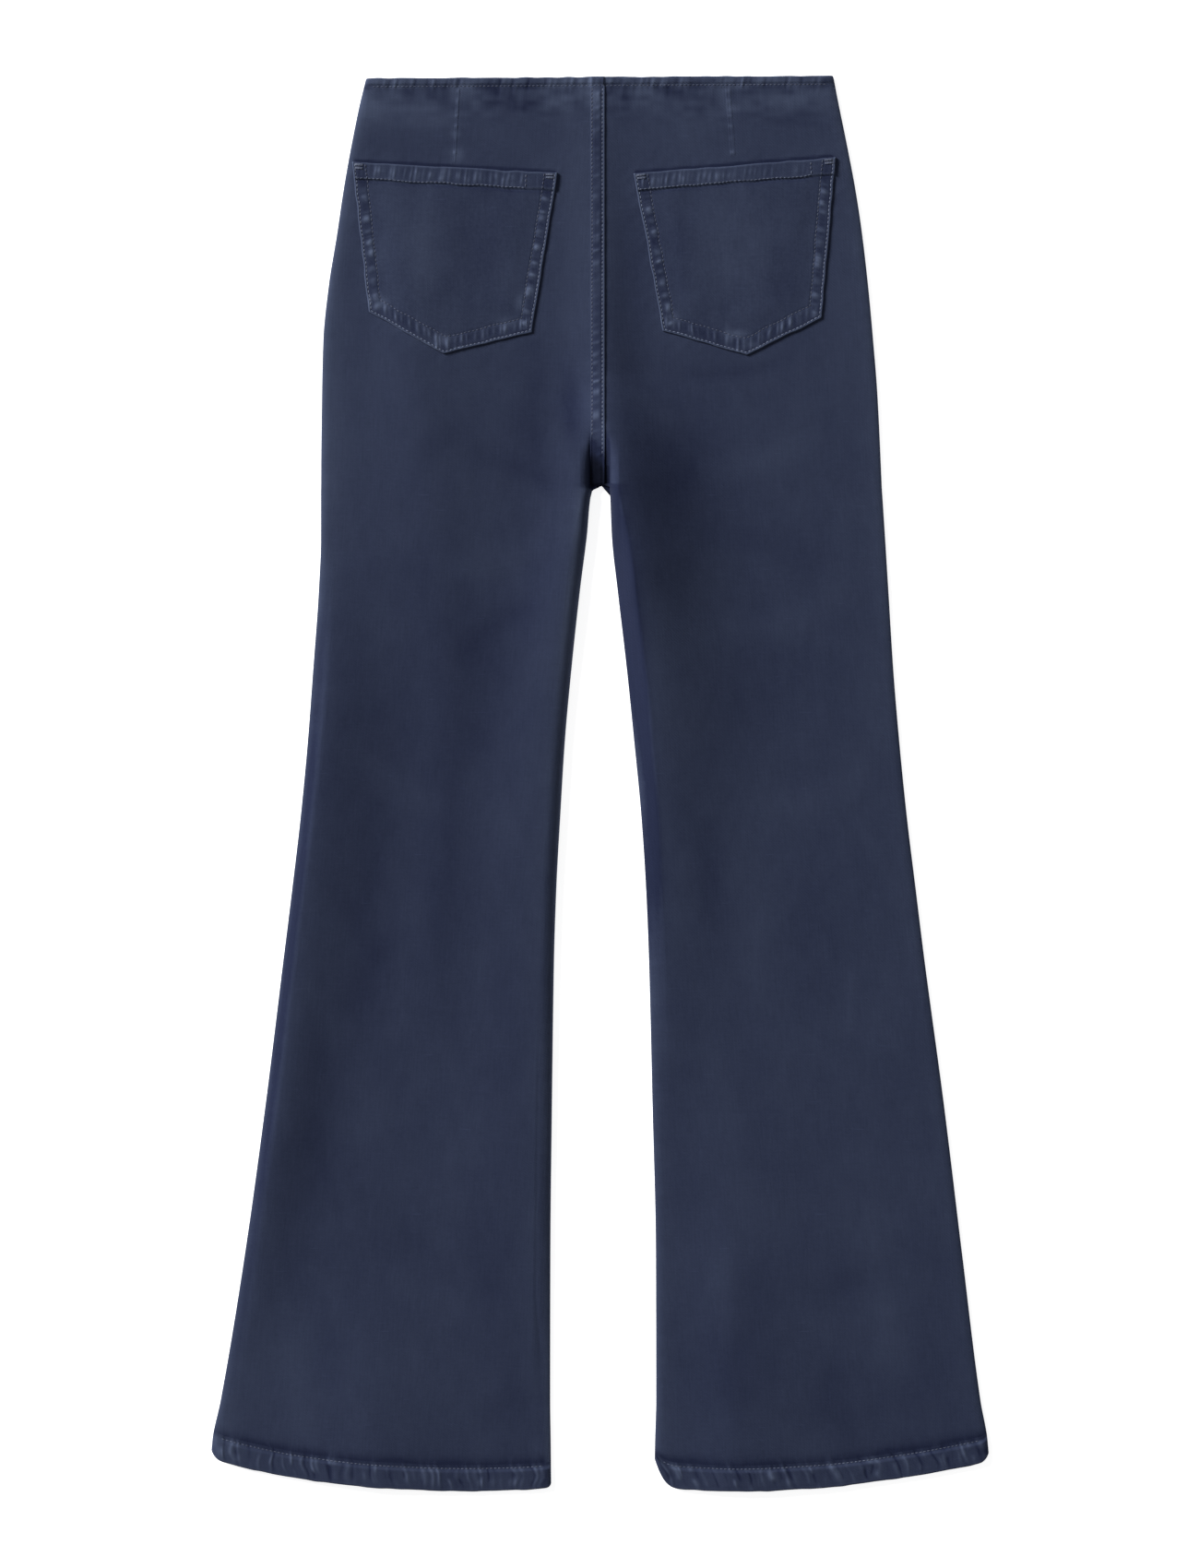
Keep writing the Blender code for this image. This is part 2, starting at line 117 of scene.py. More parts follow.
POCKET_HEM_DEPTH = 13 * MM
PATCH_LIFT = 0.4 * SEAM_GAP  # under a sewn-on layer
UNDERLAP = 0.1 * MM          # how far its under side may rise over the cloth, so that no gap shows
THINNEST = 0.2 * MM          # its least thickness
RIM_ROUNDING = 0.9 * MM      # how far in its edge is rounded
SMOOTH_ANGLE = math.radians(62)
TWILL_LEAN = math.radians(62)
LEVEL = math.pi / 2          # angle round a rim at which the cloth lies level
WHITE = (1.0, 1.0, 1.0, 1.0)


class Leg(Enum):
    """A leg as it lies; its value is the sign of its x."""

    LEFT = -1
    RIGHT = 1

    @property
    def word(self) -> str:
        """Name of the leg in node and piece names."""
        return self.name.lower()


class SeamFloor(NamedTuple):
    """Distances from the seam: where the felled strip ends, and where the floor of the dip above the fork ends."""

    strip: float
    foot: float


SEAM_FLOOR = {Leg.LEFT: SeamFloor(6.85 * MM, 7.6 * MM), Leg.RIGHT: SeamFloor(3.95 * MM, 7.5 * MM)}


def table(kind: Callable[..., Row], *rows: tuple) -> tuple[Row, ...]:
    """Rows of a table, each with its columns named by its kind."""
    return tuple(kind(*row) for row in rows)


class Level(NamedTuple):
    """Where the four edges run at one drop."""

    drop: float
    left_side: float
    left_inseam: float
    right_inseam: float
    right_side: float


OUTLINE = table(
    Level,
    (0, -177.5, -0.45, -0.15, 177.0),
    (20, -182.3, -0.45, -0.15, 180.9),
    (50, -188.2, -0.45, -0.15, 187.0),
    (85, -194.4, -0.45, -0.15, 193.7),
    (120, -199.6, -0.45, -0.15, 199.0),
    (160, -206.0, -0.45, -0.15, 203.6),
    (200, -210.0, -0.45, -0.15, 207.3),
    (240, -211.0, -0.45, -0.15, 210.5),
    (309.5, -211.7, -0.45, -0.15, 213.8),
    (312, -211.7, -0.45, 7.2, 213.9),
    (315, -211.8, -6.3, 7.5, 214.1),
    (350, -211.8, -10.0, 9.0, 216.4),
    (390, -213.4, -15.1, 13.3, 218.9),
    (450, -217.7, -21.6, 20.3, 222.6),
    (505, -221.8, -26.6, 25.9, 227.2),
    (560, -227.0, -30.0, 31.2, 232.7),
    (615, -233.4, -33.0, 34.8, 239.4),
    (670, -240.2, -34.8, 37.1, 246.2),
    (780, -253.8, -36.4, 39.8, 261.0),
    (895, -269.7, -37.6, 42.4, 275.0),
    (1005, -287.9, -37.8, 42.6, 288.8),
    (1034, -294.0, -37.4, 41.8, 294.0),
    (1074, -297.0, -37.0, 41.0, 297.0),
)


class HemPoint(NamedTuple):
    """How far the hem lies above its lowest point; across runs from the inseam, 0, to the side, 1."""

    across: float
    left: float
    right: float


HEM_LINE = table(
    HemPoint,
    (0.00, 2.4, 3.6),
    (0.10, 0.7, 1.2),
    (0.25, 0.0, 0.0),
    (0.50, 2.6, 2.8),
    (0.75, 9.8, 10.5),
    (0.90, 17.6, 17.2),
    (1.00, 24.5, 22.5),
)


class Corner(NamedTuple):
    """One rounded corner of a hem."""

    leg: Leg
    at_inseam: bool
    width: float
    rise: float


HEM_CORNERS = table(
    Corner,
    (Leg.LEFT, True, 5, 2.5),
    (Leg.LEFT, False, 10, 6.0),
    (Leg.RIGHT, True, 20, 21.0),
    (Leg.RIGHT, False, 9, 6.0),
)


class Crest(NamedTuple):
    """One section of a large fold: where its crest runs, its height, and its reach to the west and to the east."""

    drop: float
    x: float
    height: float
    west: float
    east: float


FOLDS = {
    "seat and right thigh": table(
        Crest,
        (8, 1, 0.4, 60, 30), (120, 2, 2.2, 66, 34), (222, 3, 6.5, 66, 60), (250, 4, 11.0, 60, 96),
        (280, 8, 16.5, 34, 116), (306, 13, 19.0, 26, 124), (334, 18, 19.5, 26, 128), (362, 24, 19.5, 26, 130),
        (397, 28, 17.5, 26, 132), (432, 33, 15.0, 26, 142), (474, 38, 12.5, 26, 150), (516, 42, 9.5, 26, 146),
        (572, 46, 6.5, 26, 136), (642, 49, 4.0, 26, 128), (720, 52, 1.6, 26, 110), (800, 54, 0.0, 26, 100),
    ),
    "left thigh": table(
        Crest,
        (240, -8, 0.0, 54, 28), (290, -12, 5.5, 56, 20), (334, -16, 7.0, 58, 20), (397, -26, 8.0, 66, 20),
        (474, -35, 6.6, 80, 20), (572, -42, 6.0, 120, 20), (642, -45, 5.0, 130, 20), (782, -49, 4.2, 130, 20),
        (922, -51, 2.4, 130, 20), (1010, -52, 0.0, 130, 20),
    ),
    "left side": table(
        Crest,
        (360, -202, 0.0, 24, 80), (432, -204, 3.6, 24, 96), (474, -207, 5.2, 24, 104), (516, -211, 6.5, 24, 110),
        (572, -217, 7.0, 24, 118), (642, -226, 6.4, 24, 104), (782, -243, 6.0, 24, 82), (852, -253, 4.0, 24, 70),
        (922, -262, 2.0, 24, 60), (1010, -276, 0.0, 24, 54),
    ),
    "left seat": table(
        Crest,
        (60, -150, 0.0, 60, 80), (250, -137, 3.5, 84, 104), (397, -122, 1.9, 104, 76), (516, -118, 1.5, 70, 62),
        (642, -125, 1.4, 70, 58), (760, -130, 0.0, 70, 58),
    ),
    "right hem": table(
        Crest,
        (720, 100, 0.0, 80, 170), (850, 98, 1.5, 76, 190), (922, 102, 3.4, 78, 200), (1020, 104, 3.8, 80, 210),
        (1074, 105, 3.0, 80, 210),
    ),
    "left hem": table(
        Crest,
        (900, -175, 0.0, 120, 140), (1020, -172, 3.2, 124, 150), (1074, -170, 2.8, 124, 150),
    ),
}


class Crease(NamedTuple):
    """A soft ridge (or trough, with a height below zero) on a bowed line between two places."""

    x0: float
    drop0: float
    x1: float
    drop1: float
    bow: float
    width: float
    height: float


CREASES = table(
    Crease,
    # seat, and the drag lines that run from the fork
    (-14, 298, -78, 232, 7, 9, 0.26), (-22, 322, -104, 286, 6, 9, -0.45), (-34, 352, -128, 372, -8, 11, 0.42),
    (-40, 398, -110, 452, 8, 10, -0.45), (-44, 212, -22, 264, 4, 7, 0.15), (-96, 262, -150, 322, 8, 13, -0.30),
    (22, 236, 66, 262, 5, 7, 0.40), (60, 226, 150, 213, 6, 6, -0.55), (74, 300, 168, 268, 8, 12, 0.50),
    (66, 352, 172, 372, -9, 12, -0.45), (90, 420, 186, 396, 10, 13, 0.45),
    # thighs and knees
    (-113, 520, -117, 652, 3, 12, -0.12), (-192, 498, -118, 560, 9, 13, 0.50), (-62, 560, -96, 690, 6, 14, 0.14),
    (-150, 640, -190, 720, 5, 12, -0.45), (84, 560, 90, 656, 4, 10, -0.50), (122, 560, 206, 524, 8, 13, 0.45),
    (192, 676, 190, 728, 1, 4, 0.50), (110, 640, 150, 742, 6, 13, 0.45), (-182, 710, -50, 711, 1, 2.4, -0.12),
    (62, 785, 142, 784, 1, 2.4, -0.12),
    # below the knees
    (-210, 700, -208, 872, 4, 14, -0.60), (-92, 780, -120, 930, 7, 14, 0.24), (-160, 905, -86, 940, 6, 15, 0.50),
    (120, 830, 88, 960, 6, 14, 0.50), (150, 930, 226, 896, 6, 15, -0.50), (206, 852, 234, 1000, 5, 13, 0.50),
    (170, 960, 196, 1052, 4, 12, -0.30), (-236, 930, -216, 1050, 4, 12, 0.45),
)


class WashPatch(NamedTuple):
    """A paler (above zero) or deeper patch: part of the garment's wash, and in places the painted light and shade of
    its broad folds.
    """

    x: float
    drop: float
    across: float
    along: float
    amount: float


# wash of the garment; the patches on the right thigh's slope and along the left leg's side are painted light and shade
# of the broad folds
WASH_AND_SHADING = table(
    WashPatch,
    # waist and top of the seat
    (-168, 24, 30, 16, 0.42), (-126, 30, 22, 9, 0.22), (-108, 60, 5, 5, 0.55), (-110, 44, 4, 2.5, 0.45),
    (-104, 10, 12, 9, 0.30), (-78, 12, 7, 8, -0.30), (-30, 16, 9, 12, 0.35), (-55, 20, 12, 8, -0.22),
    (-140, 14, 9, 6, -0.25), (-6, 17, 5, 8, 0.60), (20, 14, 5, 10, -0.30), (34, 13, 10, 8, 0.32),
    (66, 16, 14, 6, -0.20), (92, 11, 11, 6, 0.45), (98, 24, 6, 4, 0.50), (128, 18, 16, 8, 0.20),
    (158, 16, 18, 8, 0.30), (150, 34, 22, 5, -0.16), (60, 42, 30, 20, 0.12), (-70, 48, 34, 18, 0.05),
    # pockets and seat
    (-133, 132, 10, 32, 0.24), (-128, 184, 20, 15, 0.12), (-120, 201, 7, 4, 0.80), (-70, 188, 9, 5, 0.48),
    (-166, 172, 5, 5, 0.60), (-60, 172, 4, 6, 0.50), (103, 196, 8, 3, 0.75), (96, 199, 1.6, 7, 0.60),
    (114, 204, 5, 3, 0.50), (56, 184, 5, 5, 0.50), (-92, 120, 17, 46, -0.11), (-160, 120, 14, 36, 0.08),
    (98, 130, 30, 40, 0.20), (140, 150, 16, 30, -0.10), (62, 120, 12, 34, -0.12), (-136, 236, 60, 26, 0.05),
    (-205, 230, 12, 150, 0.16), (-16, 120, 18, 150, 0.10), (-48, 262, 22, 44, -0.12), (-21, 256, 9, 30, -0.32),
    (-44, 378, 26, 60, -0.14), (56, 330, 46, 60, -0.10), (26, 200, 16, 90, -0.14), (75, 292, 36, 40, -0.12),
    (180, 210, 30, 70, 0.10),
    # legs
    (58, 440, 30, 80, 0.09), (28, 470, 9, 120, -0.22), (-160, 380, 44, 46, -0.06), (-166, 470, 50, 90, -0.12),
    (-96, 470, 40, 110, -0.16), (140, 448, 50, 50, -0.09), (-120, 640, 60, 100, -0.08), (-180, 590, 36, 110, -0.09),
    (-150, 880, 60, 80, -0.11), (-70, 760, 36, 200, -0.10), (94, 960, 34, 60, -0.14), (190, 940, 44, 60, 0.07),
    (180, 1000, 110, 34, -0.10), (-262, 960, 26, 60, 0.10), (-140, 985, 50, 34, 0.12), (-290, 1030, 14, 40, 0.28),
    (-62, 1010, 34, 30, -0.10),
)


class PocketPlan(NamedTuple):
    """Corners of a five-sided patch as (x, drop), and how far across the mouth its point hangs."""

    mouth_inner: tuple[float, float]
    mouth_outer: tuple[float, float]
    base_outer: tuple[float, float]
    point: tuple[float, float]
    base_inner: tuple[float, float]
    share: float


POCKETS = {
    Leg.LEFT: PocketPlan((-31.9, 74.2), (-188.0, 65.8), (-175.4, 179.6), (-118.3, 211.4), (-51.5, 194.6), 0.50),
    Leg.RIGHT: PocketPlan((25.6, 74.6), (178.6, 62.0), (168.4, 183.8), (111.0, 212.4), (48.0, 193.9), 0.52),
}


# ---------------------------------------------------------------- curves and surfaces
def smooth(share: Array) -> Array:
    """Ease from 0 to 1 with level ends."""
    share = np.clip(share, 0.0, 1.0)
    return share * share * (3 - 2 * share)


def rising(value: Array, start: float, reach: float) -> Array:
    """Ease from 0 at a start to 1 a reach further on, both in millimetres."""
    return smooth((value - start * MM) / (reach * MM))


def falling(value: Array, end: float, reach: float) -> Array:
    """Ease from 1 a reach before an end to 0 at the end, both in millimetres."""
    return smooth((end * MM - value) / (reach * MM))


def bell(value: Array, centre: float, width: float) -> Array:
    """Soft bump, 1 at its centre and near 0 two widths away, both in millimetres."""
    return np.exp(-((value - centre * MM) / (width * MM)) ** 2)


def fading(distance: Array, reach: float) -> Array:
    """Share of an effect that is left at a distance, with its reach in millimetres."""
    return np.exp(-distance / (reach * MM))


class SmoothCurve:
    """Smooth curve through points, without overshoot."""

    def __init__(self, xs: Sequence[float], ys: Sequence[float]) -> None:
        """Work out the tangents once.

        Args:
            xs: Rising places.
            ys: Values there.
        """
        self.xs, self.ys = np.asarray(xs, float), np.asarray(ys, float)
        self.steps = np.diff(self.xs)
        slopes = np.diff(self.ys) / self.steps
        both = slopes[:-1] * slopes[1:]
        total = np.where(both > 0, slopes[:-1] + slopes[1:], 1.0)
        self.tangents = np.concatenate(([slopes[0]], np.where(both > 0, 2 * both / total, 0.0), [slopes[-1]]))

    def __call__(self, x: Array) -> Array:
        """Value at each x, held level past both ends."""
        x = np.clip(x, self.xs[0], self.xs[-1])
        i = np.clip(np.searchsorted(self.xs, x, side="right") - 1, 0, len(self.xs) - 2)
        h = self.steps[i]
        t = (x - self.xs[i]) / h
        return ((1 + 2 * t) * (1 - t) ** 2 * self.ys[i] + t * (1 - t) ** 2 * h * self.tangents[i]
                + t * t * (3 - 2 * t) * self.ys[i + 1] + t * t * (t - 1) * h * self.tangents[i + 1])


class Lie:
    """How the garment lies: its four edges, its hem lines and its large folds."""

    def __init__(self) -> None:
        """Turn the tables into curves."""
        drops = [row.drop * MM for row in OUTLINE]
        self.edges = {name: SmoothCurve(drops, [getattr(row, name) * MM for row in OUTLINE])
                      for name in Level._fields[1:]}
        acrosses = [row.across for row in HEM_LINE]
        self.hems = {leg: SmoothCurve(acrosses, [getattr(row, leg.word) * MM for row in HEM_LINE]) for leg in Leg}
        self.folds = []
        for crests in FOLDS.values():
            drops = [row.drop * MM for row in crests]
            self.folds.append((drops[0], drops[-1], [
                SmoothCurve(drops, [getattr(row, column) * MM for row in crests])
                for column in ("x", "height", "west", "east")]))

    def edge(self, leg: Leg, which: str, drop: Array) -> Array:
        """x of a leg's inseam or side at a drop."""
        return self.edges[f"{leg.word}_{which}"](drop)

    def corner_rise(self, leg: Leg, from_inseam: Array, from_side: Array) -> Array:
        """Extra rise in the rounded corners of a hem.

        Args:
            leg: The leg.
            from_inseam: Distance from its inseam.
            from_side: Distance from its side.

        Returns:
            The rise at full strength, at the hem's lower edge.
        """
        rise = np.zeros(np.broadcast(from_inseam, from_side).shape)
        for corner in HEM_CORNERS:
            if corner.leg is leg:
                away = np.clip((from_inseam if corner.at_inseam else from_side) / (corner.width * MM), 0.0, 1.0)
                rise = rise + corner.rise * MM * (1 - away) ** CORNER_ROUNDNESS
        return rise

    def sheet_height(self, x: Array, drop: Array) -> Array:
        """Top of the upper sheet with its large folds, away from its edges.

        Args:
            x: Place across.
            drop: Place down.

        Returns:
            Its height.
        """
        total = np.full(np.broadcast(x, drop).shape, FLAT_HEIGHT)
        for first, last, curves in self.folds:
            inside = (drop >= first) & (drop <= last)
            if not np.any(inside):
                continue
            crest, height, west, east = (curve(drop) for curve in curves)
            share = 1 - np.abs(x - crest) / np.where(x < crest, west, east)
            total = total + np.where(inside, height * smooth(np.maximum(share, 0.0) ** 2), 0.0)
        return total


class Rows:
    """Rows across one leg, each from its inner edge (seam or inseam) to its side."""

    GRAIN_STEP = 2 * MM
    GRAIN_EASE = 41              # steps to either side over which the grain line is eased

    def __init__(self, lie: Lie, leg: Leg, drops: Array) -> None:
        """Work out where each row begins and ends.

        Args:
            lie: How the garment lies.
            leg: The leg.
            drops: One drop for each row, before the hem's curve bends it.
        """
        self.lie, self.leg, self.sign = lie, leg, leg.value
        self.drops = np.asarray(drops, float).reshape(-1, 1)
        self.sweep = smooth((self.drops - HEM_SWEEP_START) / (LENGTH - HEM_SWEEP_START))
        share = (self.drops - HEM_CORNER_START) / (LENGTH - HEM_CORNER_START)
        self.corner = np.maximum(share, 0.0) ** HEM_CORNER_POWER
        self.inner_x = lie.edge(leg, "inseam", self.drops - self.rise_at_edge(0.0))
        self.side_x = lie.edge(leg, "side", self.drops - self.rise_at_edge(1.0))
        self.middle_x = (self.inner_x + self.side_x) / 2
        self.width = np.abs(self.side_x - self.inner_x)
        self.at_seam = np.abs(self.inner_x) < SEAM_REACH
        self.floor = np.where(self.at_seam, SEAM_FLOOR[leg].foot, 0.0)
        saddle = smooth((self.drops - SADDLE_START) / (FORK_DROP - SADDLE_START))
        self.dip = np.where(self.at_seam, saddle, 1.0)
        past_fork = smooth((self.drops - FORK_DROP) / FORK_EASE)
        wider = WIDE_ROLL - ROLL if leg is Leg.LEFT else 0.0
        self.inner_roll = ROLL + wider * past_fork * smooth((HEM_CORNER_START - self.drops) / FORK_EASE)
        self.inner_hold = 1.0 if leg is Leg.LEFT else 1.0 - past_fork

    def rise_at_edge(self, across: float) -> Array:
        """Rise of the row's end, corner included: across is 0 at the inseam and 1 at the side."""
        corner = self.lie.corner_rise(self.leg, np.array(across * LENGTH), np.array((1 - across) * LENGTH))
        return self.lie.hems[self.leg](np.array(across)) * self.sweep + corner * self.corner

    def x_at(self, inset: Array) -> Array:
        """x at a distance in from the inner edge."""
        return self.inner_x + self.sign * inset

    def inset_of(self, x: Array) -> Array:
        """Distance in from the inner edge at an x."""
        return (x - self.inner_x) * self.sign

    def drop_at(self, inset: Array) -> Array:
        """Drop of the point that lies inset from the inner edge."""
        rise = self.lie.hems[self.leg](inset / self.width) * self.sweep
        rise = rise + self.lie.corner_rise(self.leg, inset, self.width - inset) * self.corner
        fade = np.maximum(1 - self.drops / WAIST_TILT_REACH, 0.0)
        return self.drops - rise + WAIST_TILT * (WAIST_HALF - self.x_at(inset)) * fade

    def height_at(self, inset: Array) -> Array:
        """Top of the upper sheet at an inset, its rolled edges included.

        Args:
            inset: Distance in from the inner edge, by row.

        Returns:
            Its height.
        """
        height = self.lie.sheet_height(self.x_at(inset), self.drop_at(inset))
        base = SIDE_SEAM_HEIGHT + np.where(self.at_seam, WALL, 0.0)
        inner = (np.maximum(inset - self.floor, 0.0), self.dip, base, self.inner_roll, self.inner_hold,
                 self.floor + self.inner_roll)
        side = (self.width - inset, 1.0, SIDE_SEAM_HEIGHT, ROLL, 0.0, self.width - ROLL)
        for from_edge, share, low, roll, hold, shoulder in (inner, side):
            at_shoulder = self.lie.sheet_height(self.x_at(shoulder), self.drop_at(shoulder))
            full = height + (at_shoulder - height) * hold
            arc = np.sqrt(np.clip(1 - (1 - from_edge / roll) ** 2, 0.0, 1.0))
            rolled = height + (low + (full - low) * arc - height) * share
            height = np.where(from_edge < roll, rolled, height)
        return height

    def grain_axis(self) -> Array:
        """x of the lengthwise grain line at each row, eased so that the weave bends gently past the fork."""
        even = np.arange(self.drops.min(), self.drops.max() + self.GRAIN_STEP, self.GRAIN_STEP)
        middle = np.interp(even, self.drops[:, 0], self.middle_x[:, 0])
        ease = np.hanning(2 * self.GRAIN_EASE + 1)
        eased = np.convolve(np.pad(middle, self.GRAIN_EASE, mode="edge"), ease / ease.sum(), mode="valid")
        return np.interp(self.drops[:, 0], even, eased)[:, None]


class Unevenness:
    """Seeded soft noise over the cloth, between -1 and 1."""

    CELLS = 128
    ORIGIN = (64, 8)

    def __init__(self, seed: int, across: float, along: float) -> None:
        """Draw the lattice.

        Args:
            seed: Fixed seed.
            across: Cell size in x, in millimetres.
            along: Cell size down the garment, in millimetres.
        """
        self.lattice = np.random.default_rng(seed).uniform(-1, 1, (self.CELLS, self.CELLS))
        self.across, self.along = across * MM, along * MM

    def __call__(self, x: Array, drop: Array) -> Array:
        """Noise at each place.

        Args:
            x: Place across.
            drop: Place down.

        Returns:
            Noise between -1 and 1.
        """
        u, v = x / self.across + self.ORIGIN[0], drop / self.along + self.ORIGIN[1]
        i, j = np.floor(u).astype(int), np.floor(v).astype(int)
        fu, fv = smooth(u - i), smooth(v - j)
        i, j = i % self.CELLS, j % self.CELLS
        i1, j1 = (i + 1) % self.CELLS, (j + 1) % self.CELLS
        near = self.lattice[i, j] * (1 - fu) + self.lattice[i1, j] * fu
        far = self.lattice[i, j1] * (1 - fu) + self.lattice[i1, j1] * fu
        return near * (1 - fv) + far * fv


class Ripples:
    """Seeded row of uneven ridges, as stitching leaves them along a seam."""

    def __init__(self, seed: int, start: float, end: float, spacing: float, thinness: float = 0.30,
                 faintest: float = 0.35) -> None:
        """Place the ridges.

        Args:
            seed: Fixed seed.
            start: Where the row begins, in millimetres along the seam.
            end: Where it ends.
            spacing: Usual distance between ridges.
            thinness: Usual half width of a ridge, as a share of the spacing.
            faintest: Height of the lowest ridge, where the highest has 1.
        """
        draw = np.random.default_rng(seed)
        count = max(int((end - start) / spacing), 1)
        places = start + (end - start) * (np.arange(count) + 0.5) / count
        self.places = (places + draw.uniform(-0.38, 0.38, count) * spacing) * MM
        self.heights = draw.uniform(faintest, 1.0, count)
        self.widths = draw.uniform(0.6, 1.45, count) * spacing * thinness

    def __call__(self, along: Array) -> Array:
        """Height of the ridges, from 0 to about 1."""
        total = np.zeros(np.shape(along))
        for place, height, width in zip(self.places, self.heights, self.widths):
            total += height * bell(along - place, 0, width)
        return total


@dataclass(frozen=True)
class EdgeForm:
    """Profile of a turned and stitched edge, shared by the edge and by the panel that it meets, in millimetres."""

    full: float
    wall: float
    proud: float
    row: float
    dip: float
    dip_reach: float
    climb: float
    pucker: float
    pucker_reach: float

    def profile(self, depth: Array) -> Array:
        """Height over the plain sheet at a depth in from the fold: a dip at the stitching, then the thick edge."""
        depth = depth / MM
        past = np.exp(-np.maximum(depth - self.row, 0.0) / self.dip_reach)
        return (-self.dip * past + (self.proud + self.dip) * smooth((self.row - depth) / self.climb)) * MM

    def pucker_share(self, depth: Array) -> Array:
        """How strongly the puckers show at a depth in from the fold."""
        depth = depth / MM
        return (0.30 + 0.70 * smooth(depth / (0.45 * self.full))) * np.exp(
            -np.maximum(depth - self.full, 0.0) / self.pucker_reach)


HEM_FORM = EdgeForm(full=18.5, wall=2.0, proud=1.0, row=17.3, dip=0.58, dip_reach=5.0, climb=3.2, pucker=0.50,
                    pucker_reach=4)
WAIST_FORM = EdgeForm(full=7.5, wall=1.8, proud=0.5, row=6.5, dip=0.18, dip_reach=3.0, climb=2.4, pucker=0.42,
                      pucker_reach=5)


# ---------------------------------------------------------------- relief of the sewn cloth
class Relief:
    """Small relief of the upper sheets: unevenness, creases, and the puckers beside every line of stitching."""

    HEM_SLANT = {Leg.LEFT: 0.10, Leg.RIGHT: 0.42}
    NEAR_WAIST, NEAR_HEM = 60 * MM, 70 * MM      # how far the puckers of a turned edge reach
    POCKET_ZONE = (50 * MM, 235 * MM)
    SEAM_PUCKER, INSEAM_PUCKER, SIDE_PUCKER = 0.26 * MM, 0.16 * MM, 0.14 * MM
    DART_PUCKER, POCKET_PUCKER = 0.20 * MM, 0.22 * MM
    CREASE_SHARE = 0.3                           # of the heights in the table of creases

    def __init__(self) -> None:
        """Place every crease and pucker."""
        self.noises = ((0.06, Unevenness(3, 40, 92)), (0.034, Unevenness(5, 17, 38)), (0.018, Unevenness(7, 7, 13)))
        self.wash_noise = Unevenness(11, 30, 70)
        self.waist_smudge = Unevenness(12, 8.5, 4.2)
        self.waist_streak = Unevenness(13, 3.6, 12)
        self.dip_noise = Unevenness(14, 17, 300)
        self.seam_ripples = {Leg.LEFT: Ripples(21, 6, 300, 11), Leg.RIGHT: Ripples(22, 6, 300, 12)}
        self.inseam_ripples = Ripples(23, 320, 1050, 14)
        self.side_ripples = Ripples(24, 10, 1050, 17)
        self.waist_ripples = Ripples(25, -190, 190, 5.2, 0.26, 0.15)
        self.waist_pinches = Ripples(33, -190, 190, 11, 0.10, 0.20)
        self.waist_breaks = Unevenness(29, 9, 4)
        self.hem_ripples = {Leg.LEFT: Ripples(26, -330, -20, 6.4, 0.22, 0.15),
                            Leg.RIGHT: Ripples(27, 20, 330, 7.4, 0.21, 0.15)}
        self.hem_pinches = {Leg.LEFT: Ripples(34, -330, -20, 8.5, 0.13, 0.15),
                            Leg.RIGHT: Ripples(35, 20, 330, 9.0, 0.13, 0.15)}
        self.hem_breaks, self.hem_waver = Unevenness(31, 6, 6), Unevenness(32, 14, 9)
        self.dart_ripples = Ripples(28, 6, 68, 7)

    def hem_ridges(self, leg: Leg, x: Array, drop: Array) -> Array:
        """Ridges that cross a hem, slanted as its stitching pulled them, and broken here and there."""
        at = x - self.HEM_SLANT[leg] * (drop - LENGTH) + 2.2 * MM * self.hem_waver(x, drop)
        broken = np.clip(0.55 + 0.95 * self.hem_breaks(x, drop), 0.0, 1.3)
        return self.hem_ripples[leg](at) * broken - 0.55 * self.hem_pinches[leg](at) * (1.3 - broken)

    def waist_ridges(self, x: Array, drop: Array) -> Array:
        """Short ridges that cross the waist edge."""
        at = x + 0.15 * drop
        broken = np.clip(0.65 + 0.7 * self.waist_breaks(x, drop), 0.0, 1.3)
        return self.waist_ripples(at) * broken - 0.5 * self.waist_pinches(at)

    def crease_height(self, x: Array, drop: Array) -> Array:
        """Sum of the placed creases.

        Args:
            x: Place across.
            drop: Place down.

        Returns:
            Height to add, in metres.
        """
        total = np.zeros(np.shape(x))
        for crease in CREASES:
            start, end = np.array([crease.x0, crease.drop0]) * MM, np.array([crease.x1, crease.drop1]) * MM
            reach = (3 * crease.width + abs(crease.bow)) * MM
            near = ((x > min(start[0], end[0]) - reach) & (x < max(start[0], end[0]) + reach)
                    & (drop > min(start[1], end[1]) - reach) & (drop < max(start[1], end[1]) + reach))
            if not near.any():
                continue
            run = end - start
            length = float(np.hypot(*run))
            along = ((x[near] - start[0]) * run[0] + (drop[near] - start[1]) * run[1]) / length ** 2
            off = ((x[near] - start[0]) * -run[1] + (drop[near] - start[1]) * run[0]) / length
            bowed = off - crease.bow * MM * 4 * along * (1 - along)
            taper = np.sqrt(np.clip(1 - (2 * along - 1) ** 2, 0.0, 1.0))
            total[near] += self.CREASE_SHARE * crease.height * MM * bell(bowed, 0, crease.width) * taper
        return total

    def pocket_pull(self, leg: Leg, x: Array, drop: Array) -> Array:
        """Faint ridges on the panel just outside a pocket's edge."""
        away = PocketShape.of(leg).outside(x, drop)
        ridges = Ripples(30 + leg.value, -200, 300, 13)(x + drop)
        return self.POCKET_PUCKER * ridges * np.where(away > 0, fading(away, 7), 0.0)

    def edge_height(self, leg: Leg | None, x: Array, drop: Array, depth: Array) -> Array:
        """Relief at a turned edge, on the edge itself and on the panel beside it.

        Args:
            leg: The hem's leg, or None for the waist edge.
            x: Place across.
            drop: Place down.
            depth: Distance in from the fold.

        Returns:
            Height over the plain sheet.
        """
        if leg is None:
            form, ridges = WAIST_FORM, self.waist_ridges(x, drop)
        else:
            form, ridges = HEM_FORM, self.hem_ridges(leg, x, drop)
        return form.profile(depth) + form.pucker * MM * ridges * form.pucker_share(depth)

